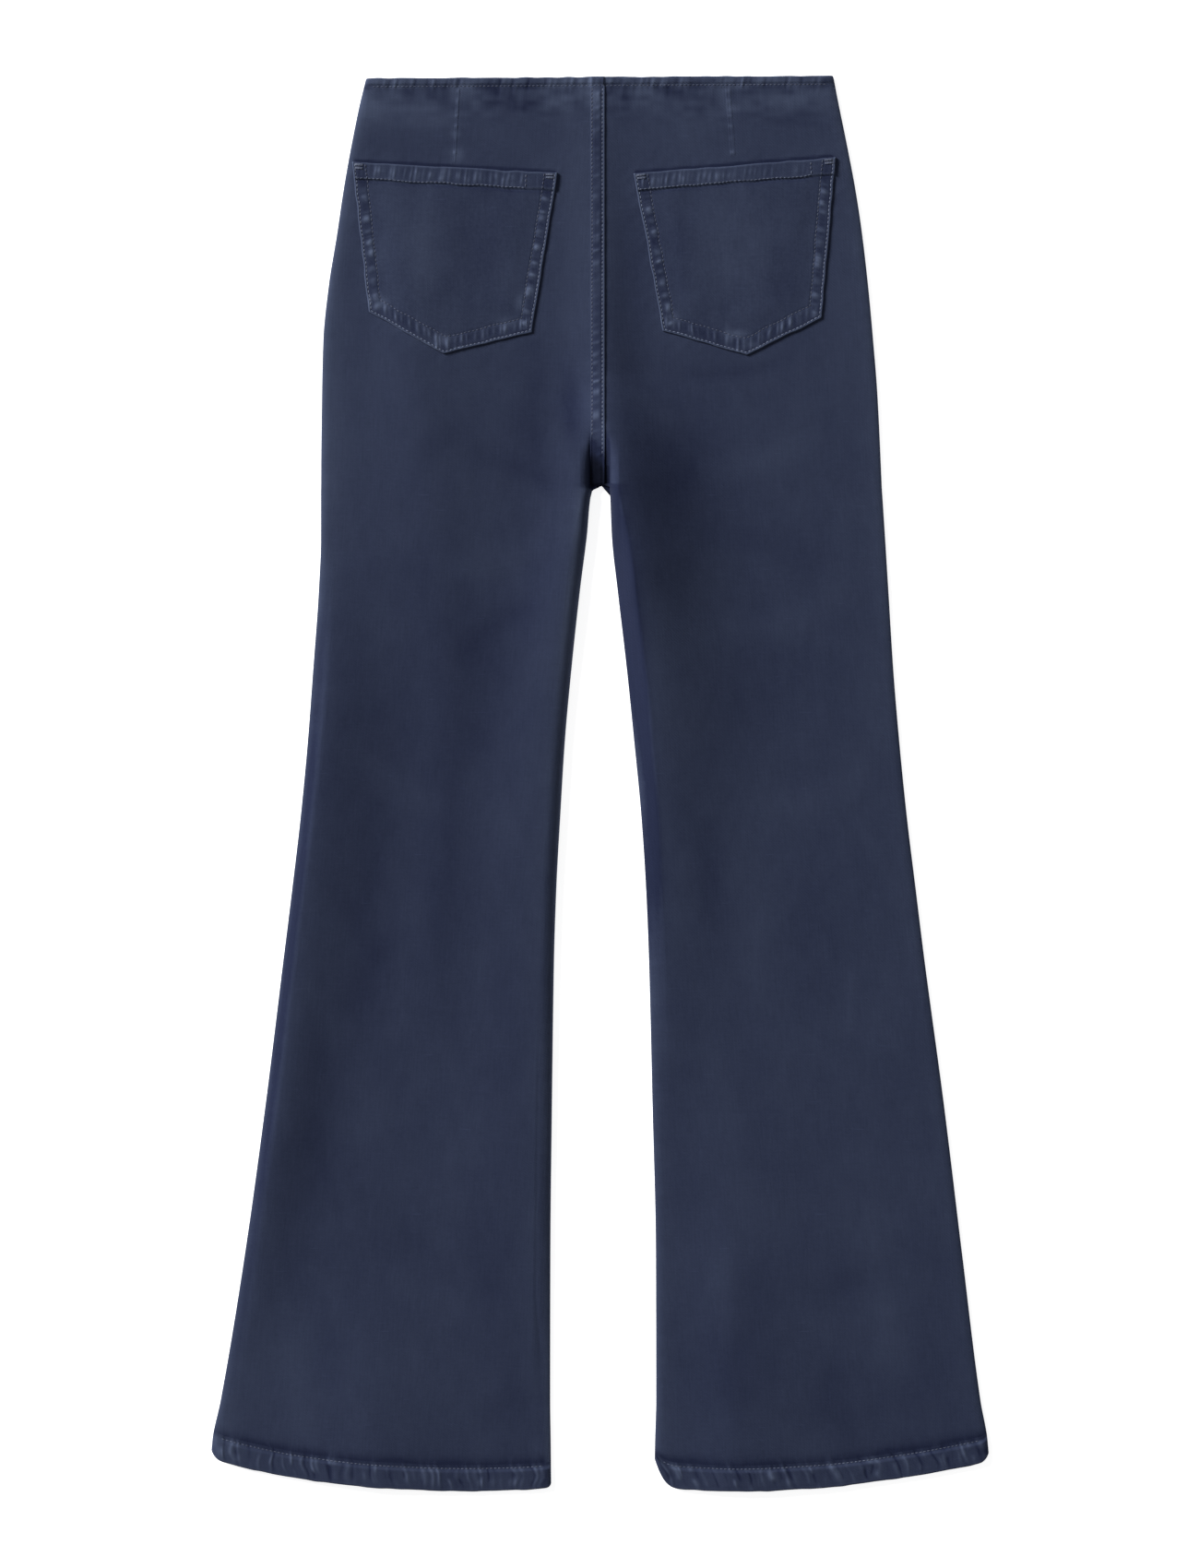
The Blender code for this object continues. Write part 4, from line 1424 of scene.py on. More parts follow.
@dataclass
class BackPanel(LegPiece):
    """Seat and leg of one side in one panel, the upper sheet, waist to hem."""

    middle: int = 151
    upper_rows: int = 168
    lower_rows: int = 342
    dense: float = 12 * MM
    dense_rows: int = 12
    stride: int = 4
    crowding: float = 1.25
    lowest: float = 2.75 * MM
    arc_angles: tuple[float, ...] = (0, 10, 20, 31, 43, 55, 67, 79, 90)

    def rows(self) -> Rows:
        """Rows of the panel, with the fork's own three among them."""
        drops = np.concatenate([
            np.linspace(PANEL_TOP, PANEL_TOP + self.dense, self.dense_rows + 1)[:-1],
            np.linspace(PANEL_TOP + self.dense, FORK_ROWS[0], self.upper_rows + 1), FORK_ROWS[1:2],
            np.linspace(FORK_ROWS[2], PANEL_BOTTOM - self.dense, self.lower_rows + 1),
            np.linspace(PANEL_BOTTOM - self.dense, PANEL_BOTTOM, self.dense_rows + 1)[1:]])
        return Rows(self.lie, self.leg, drops)

    def stops(self, rows: Rows) -> tuple[Array, Array]:
        """Insets and angles from the rim of every point of the grid.

        Args:
            rows: The panel's rows.

        Returns:
            Insets from the inner edge, and angles round the rim.
        """
        angles = np.radians(self.arc_angles)
        arc = ROLL * (1 - np.cos(angles))
        strip, foot = SEAM_FLOOR[self.leg]
        beside = np.array([0, strip / 3, 2 * strip / 3, strip, foot, foot + 0.3 * MM, foot + 1.4 * MM,
                           foot + 3.6 * MM, foot + ROLL])
        share = (np.arange(1, self.middle) / self.middle) ** self.crowding
        start = rows.floor + ROLL
        middle = start + (rows.width - ROLL - start) * share
        insets = np.concatenate([np.where(rows.at_seam, beside, arc), middle, rows.width - arc[::-1]], axis=1)
        return insets, rim_angles(np.where(rows.at_seam, LEVEL, angles), angles, self.middle - 1)

    def edge_wear(self, rows: Rows, drop: Array, inset: Array) -> Array:
        """Painted highlight and shade where the rolled edges turn towards or away from the light, with paler rubbed
        rims: on the rim, on the roll beside it, and along the side.

        Args:
            rows: The panel's rows.
            drop: Place down.
            inset: Distance from the inner edge.

        Returns:
            Wear and painted shading to add.
        """
        from_side = rows.width - inset
        # painted highlight along both sides, strongest towards the waist
        side = 0.14 + 0.34 * falling(drop, 520, 160)
        if self.leg is Leg.LEFT:
            # left leg: a paler inseam rim, partly rub wear and partly painted highlight; painted highlight on the roll
            # below the fork and painted shade on it lower down; painted shade on the outer side and its shoulder about
            # the knee
            rim = 0.80 - 0.20 * rising(drop, 600, 110)
            roll = 0.75 * bell(drop, 400, 70) - 0.16 * bell(drop, 640, 70)
            roll = (roll - 0.16 * rising(drop, 790, 70)) * bell(inset, 6, 3.5)
            side = side - 0.20 * bell(drop, 720, 170)
            shoulder = -0.52 * bell(drop, 670, 240) * bell(from_side, 5, 3.5)
        else:
            # right leg: painted shade on the inseam rim down to the knee and on the roll beside it, which face the
            # light; a paler rim lower down
            rim = -0.75 + bell(drop, 524, 70) + 0.95 * rising(drop, 600, 110)
            roll = rising(drop, 320, 60) * falling(drop, 690, 130)
            roll = -0.64 * roll * bell(inset, 8.5, 5)
            shoulder = 0.0
        inner = (rim * fading(inset, 6) + roll) * ~rows.at_seam
        return inner + side * fading(from_side, 5) + shoulder

    def build(self) -> Piece:
        """Build the panel.

        Returns:
            The piece, in place of its CAD node.
        """
        rows = self.rows()
        inset, angle = self.stops(rows)
        x, drop = rows.x_at(inset), rows.drop_at(inset)
        level = np.maximum(rows.height_at(inset), SIDE_SEAM_HEIGHT + WALL * np.sin(angle))
        low = np.where(rows.at_seam, SIDE_SEAM_HEIGHT + WALL, self.lowest)
        rise = self.relief.height(rows, x, drop, inset) * np.sin(angle)
        top = np.maximum(level + rise, np.minimum(level, low))
        # paler on raised relief, as rubbed cloth is, and darker in its hollows as painted shade
        wear = self.relief.wash(x, drop) + np.clip(rise / (1.4 * MM), -0.30, 0.5)
        # painted shade in the dip beside the hem, in the fork and just above the pocket's mouth
        wear -= 0.20 * (1 + 0.9 * self.relief.dip_noise(x, drop)) * bell(LENGTH - rows.drops, 20, 4.5)
        wear += self.edge_wear(rows, drop, inset)
        # painted shade deep in the fork, where the seam dives between the legs
        wear -= 2.3 * rising(drop, 268, 26) * falling(inset, 8.4, 2.6) * rows.at_seam
        pocket = PocketShape.of(self.leg).distances(x, drop)
        beside = rising(pocket["inner"], 0, 3) * rising(pocket["outer"], 0, 3)
        # painted shadow of the pocket's mouth, a thin dark line on the panel just above it
        wear -= 0.75 * bell(-pocket["mouth"], 0.9, 1.3) * beside
        mesh = panel_shell(rows, inset, angle, top, -WALL, wear, self.stride)
        return mesh.build(f"{self.leg.word}_back_panel", self.finishes.body, "denim", f"back_{self.leg.word}")


@dataclass
class FrontPanel(LegPiece):
    """Lower sheet of one leg, flat where it rests."""

    middle: int = 55
    upper_rows: int = 60
    lower_rows: int = 122
    arc_angles: tuple[float, ...] = (0, 22, 43, 66, 90)

    def build(self) -> Piece:
        """Build the panel.

        Returns:
            The piece, in place of its CAD node.
        """
        drops = np.concatenate([np.linspace(PANEL_TOP, FORK_ROWS[0], self.upper_rows + 1), FORK_ROWS[1:2],
                                np.linspace(FORK_ROWS[2], PANEL_BOTTOM, self.lower_rows + 1)])
        rows = Rows(self.lie, self.leg, drops)
        angles = np.radians(self.arc_angles)
        arc = CURL * (1 - np.cos(angles))
        share = np.arange(1, self.middle) / self.middle
        middle = CURL + (rows.width - 2 * CURL) * share
        inset = np.concatenate([np.repeat(arc[None, :], len(drops), axis=0), middle, rows.width - arc[::-1]], axis=1)
        angle = rim_angles(np.where(rows.at_seam, LEVEL, angles), angles, self.middle - 1)
        x, drop = rows.x_at(inset), rows.drop_at(inset)
        rim = SIDE_SEAM_HEIGHT - SEAM_GAP
        dents = 0.12 * MM * (1 + Unevenness(41, 22, 34)(x, drop)) * np.sin(angle)
        under = np.minimum(rim * (1 - np.sin(angle)), rim - WALL * np.sin(angle)) + dents
        wear = 0.25 * fading(rows.width - inset, 5) + 0.16 * Unevenness(42, 40, 60)(x, drop)
        mesh = panel_shell(rows, inset, angle, under, WALL, wear, 1)
        return mesh.build(f"{self.leg.word}_front_panel", self.finishes.body, "denim", f"front_{self.leg.word}")


class SeamRow(NamedTuple):
    """One row of the felled seam's stitching: its line, where it ends and how pale its thread is."""

    x: float
    end: float
    tone: float


@dataclass
class CentreSeam(SubAssembly):
    """Flat-felled strip over the centre back seam, with its two rows of stitching."""

    overhang: float = 3.6 * MM
    slant: float = 0.26
    left: SeamRow = SeamRow(-5.9 * MM, 274 * MM, 0.3)
    right: SeamRow = SeamRow(1.9 * MM, 288 * MM, 0.7)
    ripples: Ripples = field(default_factory=lambda: Ripples(51, 8, 308, 7.0, 0.25, 0.2))
    breaks: Unevenness = field(default_factory=lambda: Unevenness(55, 4, 9))

    def base(self, x: Array, drop: Array) -> Array:
        """Top of the cloth under the strip, which dives where it leaves the cloth at the fork."""
        dive = 0.5 * np.maximum(drop - STRIP_END + MM, 0.0)
        x, drop = np.broadcast_arrays(x, np.minimum(drop, STRIP_END - MM))
        left, right = (panel_top(self.lie, leg, x, drop) for leg in Leg)
        return np.where(x >= 0, right, left) - dive

    def ridges(self, x: Array, drop: Array) -> Array:
        """Small puckers between the two rows."""
        return self.ripples(drop + 0.2 * x) * np.clip(0.7 + 0.7 * self.breaks(x, drop), 0.05, 1.3)

    def top(self, x: Array, drop: Array) -> Array:
        """Upper face of the strip: a lip at each edge, a groove under each row and puckers in between.

        Args:
            x: Place across.
            drop: Place down.

        Returns:
            Its height.
        """
        from_left, from_right = x - STRIP_LEFT, STRIP_RIGHT - x
        body = rounded_rim(np.minimum(from_left, from_right), STRIP_THICKNESS)
        body = body + 0.16 * MM * bell(from_right, 0.75, 0.7) + 0.10 * MM * bell(from_left, 0, 0.8)
        for row in (self.left, self.right):
            body = body - 0.34 * MM * bell(x - row.x, 0, 0.75)
        between = rising(x - self.left.x, 0, 1.5) * rising(self.right.x - x, 0, 1.5)
        body = body + (0.12 + 0.42 * self.ridges(x, drop)) * MM * between
        body = body + 0.08 * MM * self.ripples(drop)
        return self.base(x, drop) + PATCH_LIFT + body

    def wear(self, x: Array, drop: Array) -> Array:
        """Wear and painted shading of the strip: pale ridges and lips, a paler block near the waist, and painted shade
        deep into the fork.

        Args:
            x: Place across.
            drop: Place down.

        Returns:
            Its wear and painted shading.
        """
        between = rising(x - self.left.x, 0, 1.2) * rising(self.right.x - 1.5 * MM - x, 0, 2.5)
        lip = 0.85 * bell(STRIP_RIGHT - x, 0.5, 0.9) + 0.35 * bell(x - STRIP_LEFT, 0, 0.9)
        block = bell(x, -3.0, 4.0) * bell(drop, 17, 9)
        wear = -0.14 + 0.85 * self.ridges(x, drop) * between + lip
        wear = wear + 0.15 * falling(drop, 60, 50) + 0.6 * block
        # painted shade where the strip dives into the fork
        into_fork = rising(drop - 270 * MM - (x - STRIP_LEFT), 0, 28)
        return wear - 2.4 * into_fork + 0.1 * Unevenness(53, 6, 16)(x, drop)

    def build(self) -> list[Piece]:
        """Build the strip and its stitching.

        Returns:
            Strip and stitching.
        """
        x = np.linspace(0, 1, 21)
        x = STRIP_LEFT + (STRIP_RIGHT - STRIP_LEFT) * (x - 0.045 * np.sin(4 * math.pi * x))
        end = STRIP_END + self.overhang - self.slant * (x - STRIP_LEFT)
        drop = STRIP_START + (end - STRIP_START)[None, :] * np.linspace(0, 1, 401)[:, None]
        x = np.broadcast_to(x[None, :], drop.shape)
        top = self.top(x, drop)
        inner = spread(x, drop, np.minimum(self.base(x, drop) + UNDERLAP, top - THINNEST))
        mesh = thin_shell(spread(x, drop, top), inner, weave(x, drop), self.wear(x, drop), 4)
        strip = mesh.build("centre_seam_strip", self.finishes.seam, "seam_denim", "centre_back_seam")
        wander = Unevenness(52, 10, 60)
        stitching = Stitching("centre_seam_stitching", self.finishes.thread)
        for row in (self.left, self.right):
            drops = np.linspace(STRIP_START + 1.5 * MM, row.end, 120)
            line = np.stack([row.x + 0.12 * MM * wander(np.full(120, row.x), drops), drops], axis=-1)
            stitching.run(line, self.top, tone=row.tone)
        return [strip, stitching.build()]


@dataclass
class PatchPocket(LegPiece):
    """Five-sided patch pocket with a turned mouth hem, twin rows of stitching and bar tacks."""

    step_across: float = 0.62 * MM
    step_down: float = 0.9 * MM
    outer_row: float = 1.8 * MM
    side_row: float = 9.8 * MM
    base_row: float = 12.0 * MM
    hem_row: float = 12.2 * MM
    span: float = 155 * MM
    fall: float = 132 * MM
    tack: float = 7.5 * MM
    tack_rows: tuple[int, ...] = (0, 1, 2, 5, 6, 7)

    def __post_init__(self) -> None:
        """Place the puckers of this pocket."""
        seed = 60 + self.leg.value * 5
        self.shape = PocketShape.of(self.leg)
        low, high = (-200, -20) if self.leg is Leg.LEFT else (20, 200)
        self.side_ridges = {"inner": Ripples(seed, 88, 196, 9.5, 0.21, 0.45),
                            "outer": Ripples(seed + 1, 82, 184, 9.5, 0.21, 0.45)}
        self.fine_ridges = Ripples(seed + 7, 60, 220, 3.4, 0.24, 0.0)
        self.base_ridges = Ripples(seed + 2, low, high, 4.8, 0.23, 0.15)
        self.mouth_ridges = Ripples(seed + 3, low, high, 3.9, 0.28, 0.10)
        self.breaks = Unevenness(seed + 9, 4, 4)
        self.field_noise = Unevenness(seed + 4, 24, 30)

    def ground(self, x: Array, drop: Array) -> Array:
        """Top of the panel under the patch."""
        return panel_top(self.lie, self.leg, x, drop) + self.relief.plain_noise(x, drop)

    def edges(self, x: Array, drop: Array) -> dict[str, Array]:
        """Distances in from each edge, from the nearer side, the nearer lower edge and from both, none below zero."""
        edge = {name: np.maximum(value, 0.0) for name, value in self.shape.distances(x, drop).items()}
        edge["sides"] = np.minimum(edge["inner"], edge["outer"])
        edge["base"] = np.minimum(edge["low_inner"], edge["low_outer"])
        edge["rim"] = np.minimum(edge["sides"], edge["base"])
        return edge

    def ridges(self, x: Array, drop: Array, edge: dict[str, Array]) -> Array:
        """Puckers between the twin rows, as blobs that end at the inner row.

        Args:
            x: Place across.
            drop: Place down.
            edge: Distances in from the edges.

        Returns:
            Height of the puckers, from 0 to about 1.
        """
        total = np.zeros(x.shape)
        for name, ridges in self.side_ridges.items():
            band = bell(edge[name], 6.6, 2.6)
            at = drop + 0.25 * edge[name]
            total = np.maximum(total, (ridges(at) + 0.30 * self.fine_ridges(at)) * band)
        for name in ("low_inner", "low_outer"):
            band = bell(edge[name], 7.6, 3.4)
            total = np.maximum(total, self.base_ridges(x) * band)
        total = total * rising(edge["mouth"] - POCKET_HEM_DEPTH, 0, 4)
        inner_stop, outer_stop = self.mouth_stops()
        box = rising(edge["inner"] - inner_stop, 0, 3) * rising(edge["outer"] - outer_stop, 0, 3)
        if self.leg is Leg.RIGHT:
            box = box * (1 - 0.7 * rising(x, 84, 24))
        mouth = bell(edge["mouth"], 6.8, 4.6) * self.mouth_ridges(x + 0.12 * drop) * (0.1 + 0.9 * box)
        return (total + 0.85 * mouth) * np.clip(0.85 + 0.55 * self.breaks(x, drop), 0.2, 1.3)

    def mouth_stops(self) -> tuple[float, float]:
        """How far from the inner and from the outer side the mouth's own stitching stops."""
        return (24 * MM, 3 * MM) if self.leg is Leg.LEFT else (3 * MM, 19 * MM)

    def top(self, x: Array, drop: Array) -> Array:
        """Upper face of the patch.

        Args:
            x: Place across.
            drop: Place down.

        Returns:
            Its height.
        """
        edge = self.edges(x, drop)
        mouth, rim, sides, base = (edge[name] for name in ("mouth", "rim", "sides", "base"))
        body = rounded_rim(np.minimum(rim, mouth), POCKET_THICKNESS)
        body = body + 0.75 * MM * rising(POCKET_HEM_DEPTH + 0.8 * MM - mouth, 0, 1.6)
        body = body - 0.40 * MM * bell(mouth - self.hem_row, 1.4, 0.8)
        body = body + 0.22 * MM * bell(rim, 0.8, 0.7) - 0.30 * MM * bell(rim - self.outer_row, 0, 0.6)
        within = rising(mouth - POCKET_HEM_DEPTH, 0, 3)
        groove = np.maximum(bell(sides - self.side_row, 0, 0.75) * (base > self.base_row - MM),
                            bell(base - self.base_row, 0, 0.75) * (sides > self.side_row - MM))
        body = body - 0.30 * MM * groove * within
        inside = rising(sides - self.side_row, 0, 16) * rising(base - self.base_row, 0, 16)
        body = body + (0.45 + 0.35 * self.field_noise(x, drop)) * MM * inside * within
        body = body + 0.60 * MM * self.ridges(x, drop, edge)
        return self.ground(*self.shape.wavered(x, drop)) + PATCH_LIFT + body

    def wear(self, x: Array, drop: Array) -> Array:
        """Wear and painted shading of the patch: pale lips, blobs and hem line, and a painted shadow below the hem
        line.

        Args:
            x: Place across.
            drop: Place down.

        Returns:
            Its wear and painted shading.
        """
        edge = self.edges(x, drop)
        mouth = edge["mouth"]
        total = self.relief.wash(x, drop) + 0.85 * bell(edge["rim"], 0.5, 0.75)
        total += 0.45 * bell(mouth, 0.6, 0.8)
        # a pale line at the mouth hem's stitching, and a painted shadow just below it
        total += 0.55 * bell(mouth - self.hem_row, 0.2, 0.8) - 0.25 * bell(mouth - self.hem_row, 2.6, 1.2)
        channel = np.maximum(bell(edge["sides"], 6, 4), bell(edge["base"], 7, 5))
        total += 1.7 * self.ridges(x, drop, edge) - 0.28 * channel
        return total - 0.06 * rising(POCKET_HEM_DEPTH - mouth, 0, 2)

    def build(self) -> list[Piece]:
        """Build the patch, its stitching and its bar tacks.

        Returns:
            Patch and sewing.
        """
        close = np.array([0, 0.15, 0.4, 0.8, 1.3, 1.8, 2.4]) * MM
        across = edge_stops(self.span, self.step_across, close, 4) / self.span
        down = edge_stops(self.fall, self.step_down, close, 4) / self.fall
        across, down = np.meshgrid(across if self.leg is Leg.RIGHT else across[::-1], down)
        x, drop = self.shape.place(across, down)
        top = self.top(x, drop)
        at = self.shape.wavered(x, drop)
        inner = spread(*at, np.minimum(self.ground(*at) + UNDERLAP, top - THINNEST))
        mesh = thin_shell(spread(*at, top), inner, weave(x, drop), self.wear(x, drop), 4)
        patch = mesh.build(f"{self.leg.word}_patch_pocket", self.finishes.pocket, "denim", f"pocket_{self.leg.word}")
        return [patch, self.sew()]

    def sew(self) -> Piece:
        """Sew the twin rows, the mouth's row and a bar tack at each top corner.

        Returns:
            The stitching.
        """
        stitching = Stitching(f"{self.leg.word}_pocket_stitching", self.finishes.thread, self.shape.wavered)
        for sides, base, tone in ((self.outer_row, self.outer_row, 0.75), (self.side_row, self.base_row, 0.06)):
            stitching.run(self.shape.row(sides, base), self.top, tone=tone)
        mouth_in, run, down = self.shape.line("mouth")
        mouth_out = self.shape.corners["mouth_outer"]
        inner_stop, outer_stop = self.mouth_stops()
        start = mouth_in + run * inner_stop + down * self.hem_row
        end = mouth_out - run * outer_stop + down * self.hem_row
        corner = start if self.leg is Leg.LEFT else end
        for line in (np.array([start, end]), np.array([corner, corner - down * (self.hem_row - 1.6 * MM)])):
            stitching.run(line, self.top, tone=0.45)
        for corner, way in ((mouth_in, 1), (mouth_out, -1)):
            for k in self.tack_rows:
                begin = corner + way * run * 1.6 * MM + down * (1.3 + 0.45 * k) * MM
                stitching.run(np.array([begin, begin + way * run * self.tack]), self.top, pitch=self.tack,
                              length=7.2 * MM, proud=0.2 * MM, tone=0.35)
        return stitching.build()


class Station(NamedTuple):
    """One place round the wall of a turned edge, in millimetres."""

    depth: float
    proud: float
    inward: float


@dataclass
class TurnedEdge(SubAssembly):
    """Turned and stitched edge in a flattened ring: a leg's hem or the waist edge."""

    name: str
    node: str
    legs: tuple[Leg, ...]
    form: EdgeForm
    across: int = 340
    angles: tuple[float, ...] = (0, 12, 25, 38, 51, 64, 77, 90)
    proud: float = 0.14
    groove: float = 0.42         # on the under side, where its stitching lies
    over_seam: float = 1.1       # how far the waist edge rises over the felled seam
    fold_waves: float = 0.35
    fold: tuple[tuple[float, float], ...] = ((1.2, 0), (0.8, 0.04), (0.45, 0.12), (0.15, 0.28), (0.0, 0.5),
                                             (0.15, 0.74), (0.5, 0.9))
    fold_waver: Unevenness = field(default_factory=lambda: Unevenness(97, 8, 400))

    @property
    def is_hem(self) -> bool:
        """Whether this edge is a leg's hem."""
        return len(self.legs) == 1

    def ridges(self, x: Array, drop: Array) -> Array:
        """Puckers that cross the edge."""
        return self.relief.hem_ridges(self.legs[0], x, drop) if self.is_hem else self.relief.waist_ridges(x, drop)

    def stations(self) -> list[Station]:
        """Stations from the overlap on the panel, down the outside, round the fold and up the inside."""
        full, wall, proud = self.form.full, self.form.wall, self.proud
        overlap = [Station(full + 1.3, 0.05, 0), Station(full + 0.6, 0.10, 0)]
        outside = [Station(float(depth), proud, 0) for depth in np.arange(full, 1.6, -0.62)]
        fold = [Station(depth, proud, share * wall) for depth, share in self.fold]
        inside = [Station(share * full, proud, wall) for share in (0.1, 0.35, 0.65, 0.96)]
        return overlap + outside + fold + inside + [Station(full + 0.2, 0.12, 0.9)]

    def surface(self, x: Array, drop: Array, depth: Array) -> Array:
        """Top of the edge: the sheet below it, the stitched groove and the puckers.

        Args:
            x: Place across.
            drop: Place down.
            depth: Distance from the fold.

        Returns:
            Height.
        """
        height = self.lie.sheet_height(x, drop) + self.relief.plain_noise(x, drop)
        height = height + self.relief.edge_height(self.legs[0] if self.is_hem else None, x, drop, depth)
        if not self.is_hem:
            seam = rising(x - STRIP_LEFT, 0, 1) * rising(STRIP_RIGHT - x, 0, 1)
            height = height + self.over_seam * MM * seam
        return height

    def rows_at(self, depth: float) -> list[Rows]:
        """The row that lies a distance in from the fold, in each leg."""
        drop = LENGTH - depth if self.is_hem else depth
        return [Rows(self.lie, leg, np.array([drop])) for leg in self.legs]

    @staticmethod
    def ends(rows: list[Rows]) -> tuple[float, float]:
        """Both ends of the rows."""
        found = [float(end[0, 0]) for row in rows for end in (row.side_x, row.inner_x)]
        return min(found), max(found)

    @staticmethod
    def drop_on(rows: list[Rows], x: Array) -> Array:
        """Drop at each x, from the row of the leg that it lies in."""
        nearest = np.argmin([np.abs(x - float(row.middle_x[0, 0])) for row in rows], axis=0)
        return np.choose(nearest, [row.drop_at(row.inset_of(x[None, :]))[0] for row in rows])

    def ring(self, station: Station) -> tuple[Array, Array, Array]:
        """Stops of one station.

        Args:
            station: The station.

        Returns:
            Its points, weave coordinates, and wear and painted shading.
        """
        depth = station.depth * MM
        rows = self.rows_at(depth)
        left, right = self.ends(rows)
        angles = np.radians(self.angles)
        arc = ROLL * (1 - np.cos(angles))
        middle = np.linspace(left + ROLL, right - ROLL, self.across + 1)[1:-1]
        x = np.concatenate([left + arc, middle, right - arc[::-1]])
        x = np.concatenate([x, x[-2:0:-1]])
        angle = rim_angles(angles[None, :], angles, len(middle))[0]
        angle = np.concatenate([angle, 2 * math.pi - angle[-2:0:-1]])
        drop = self.drop_on(rows, x)
        top = self.surface(np.clip(x, left + ROLL, right - ROLL), drop, np.full(x.shape, depth)) + station.proud * MM
        centre = (FLAT_HEIGHT + self.form.proud * MM) / 2
        upper = angle <= math.pi
        groove = self.groove * MM * bell(np.array(depth - self.form.row * MM), 0, 0.9)
        z = centre + np.where(upper, top - centre, centre - groove) * np.sin(angle)
        overlap = 0.08 if station.depth > self.form.full else 0.0
        inward = np.where(upper, station.inward, max(station.inward, overlap)) * MM
        within = x + inward * np.cos(angle)
        way = 1 if self.is_hem else -1
        outward = way * math.exp(-depth / (4 * MM)) * self.fold_waver(within, drop)
        around = self.drop_on(rows, within) + self.fold_waves * MM * (outward - 0.5)
        points = spread(within, around, z - inward * np.sin(angle))
        grain = np.stack([x, np.full(x.shape, depth) * way], axis=-1)
        share = float(self.form.pucker_share(np.array(depth)))
        fold = float(bell(np.array(depth), 0, 1.2))
        # painted shade in the dip just past the stitching, where the edge lies over the panel; the puckers pale less
        # there
        dip = float(bell(np.array(depth - (self.form.row + 2.0) * MM), 0, 2.4))
        quiet, bright = (0.04, 0.85) if self.is_hem else (-0.18, 0.95)
        wear = self.relief.wash(x, drop) - quiet + 0.30 * fold
        wear = wear + bright * self.ridges(x, drop) * share * (1 - 0.75 * dip) - 0.2 * dip
        return points, grain, wear

    def build(self) -> list[Piece]:
        """Build the ring and its stitching.

        Returns:
            Ring and stitching.
        """
        points, grain, wear = (np.stack(part) for part in zip(*map(self.ring, self.stations())))
        edge = closed_ring(points, grain, wear).build(self.name, self.finishes.seam, "seam_denim", self.node)
        return [edge, self.sew()]

    def sew(self) -> Piece:
        """Sew one row on the upper and one on the under side.

        Returns:
            The stitching.
        """
        stitching = Stitching(f"{self.name}_stitching", self.finishes.thread)
        depth = self.form.row * MM
        rows = self.rows_at(depth)
        left, right = self.ends(rows)
        x = np.linspace(left + ROLL * 0.9, right - ROLL * 0.9, 400)
        line = np.stack([x, self.drop_on(rows, x)], axis=-1)
        tone = 0.2 if self.is_hem else -0.02
        stitching.run(line, lambda px, pd: self.surface(px, pd, np.full(px.shape, depth)) + self.proud * MM, tone=tone,
                      patchy=0.3)
        stitching.run(line, lambda px, pd: np.full(px.shape, self.groove * MM), under=True, tone=tone)
        return stitching.build()


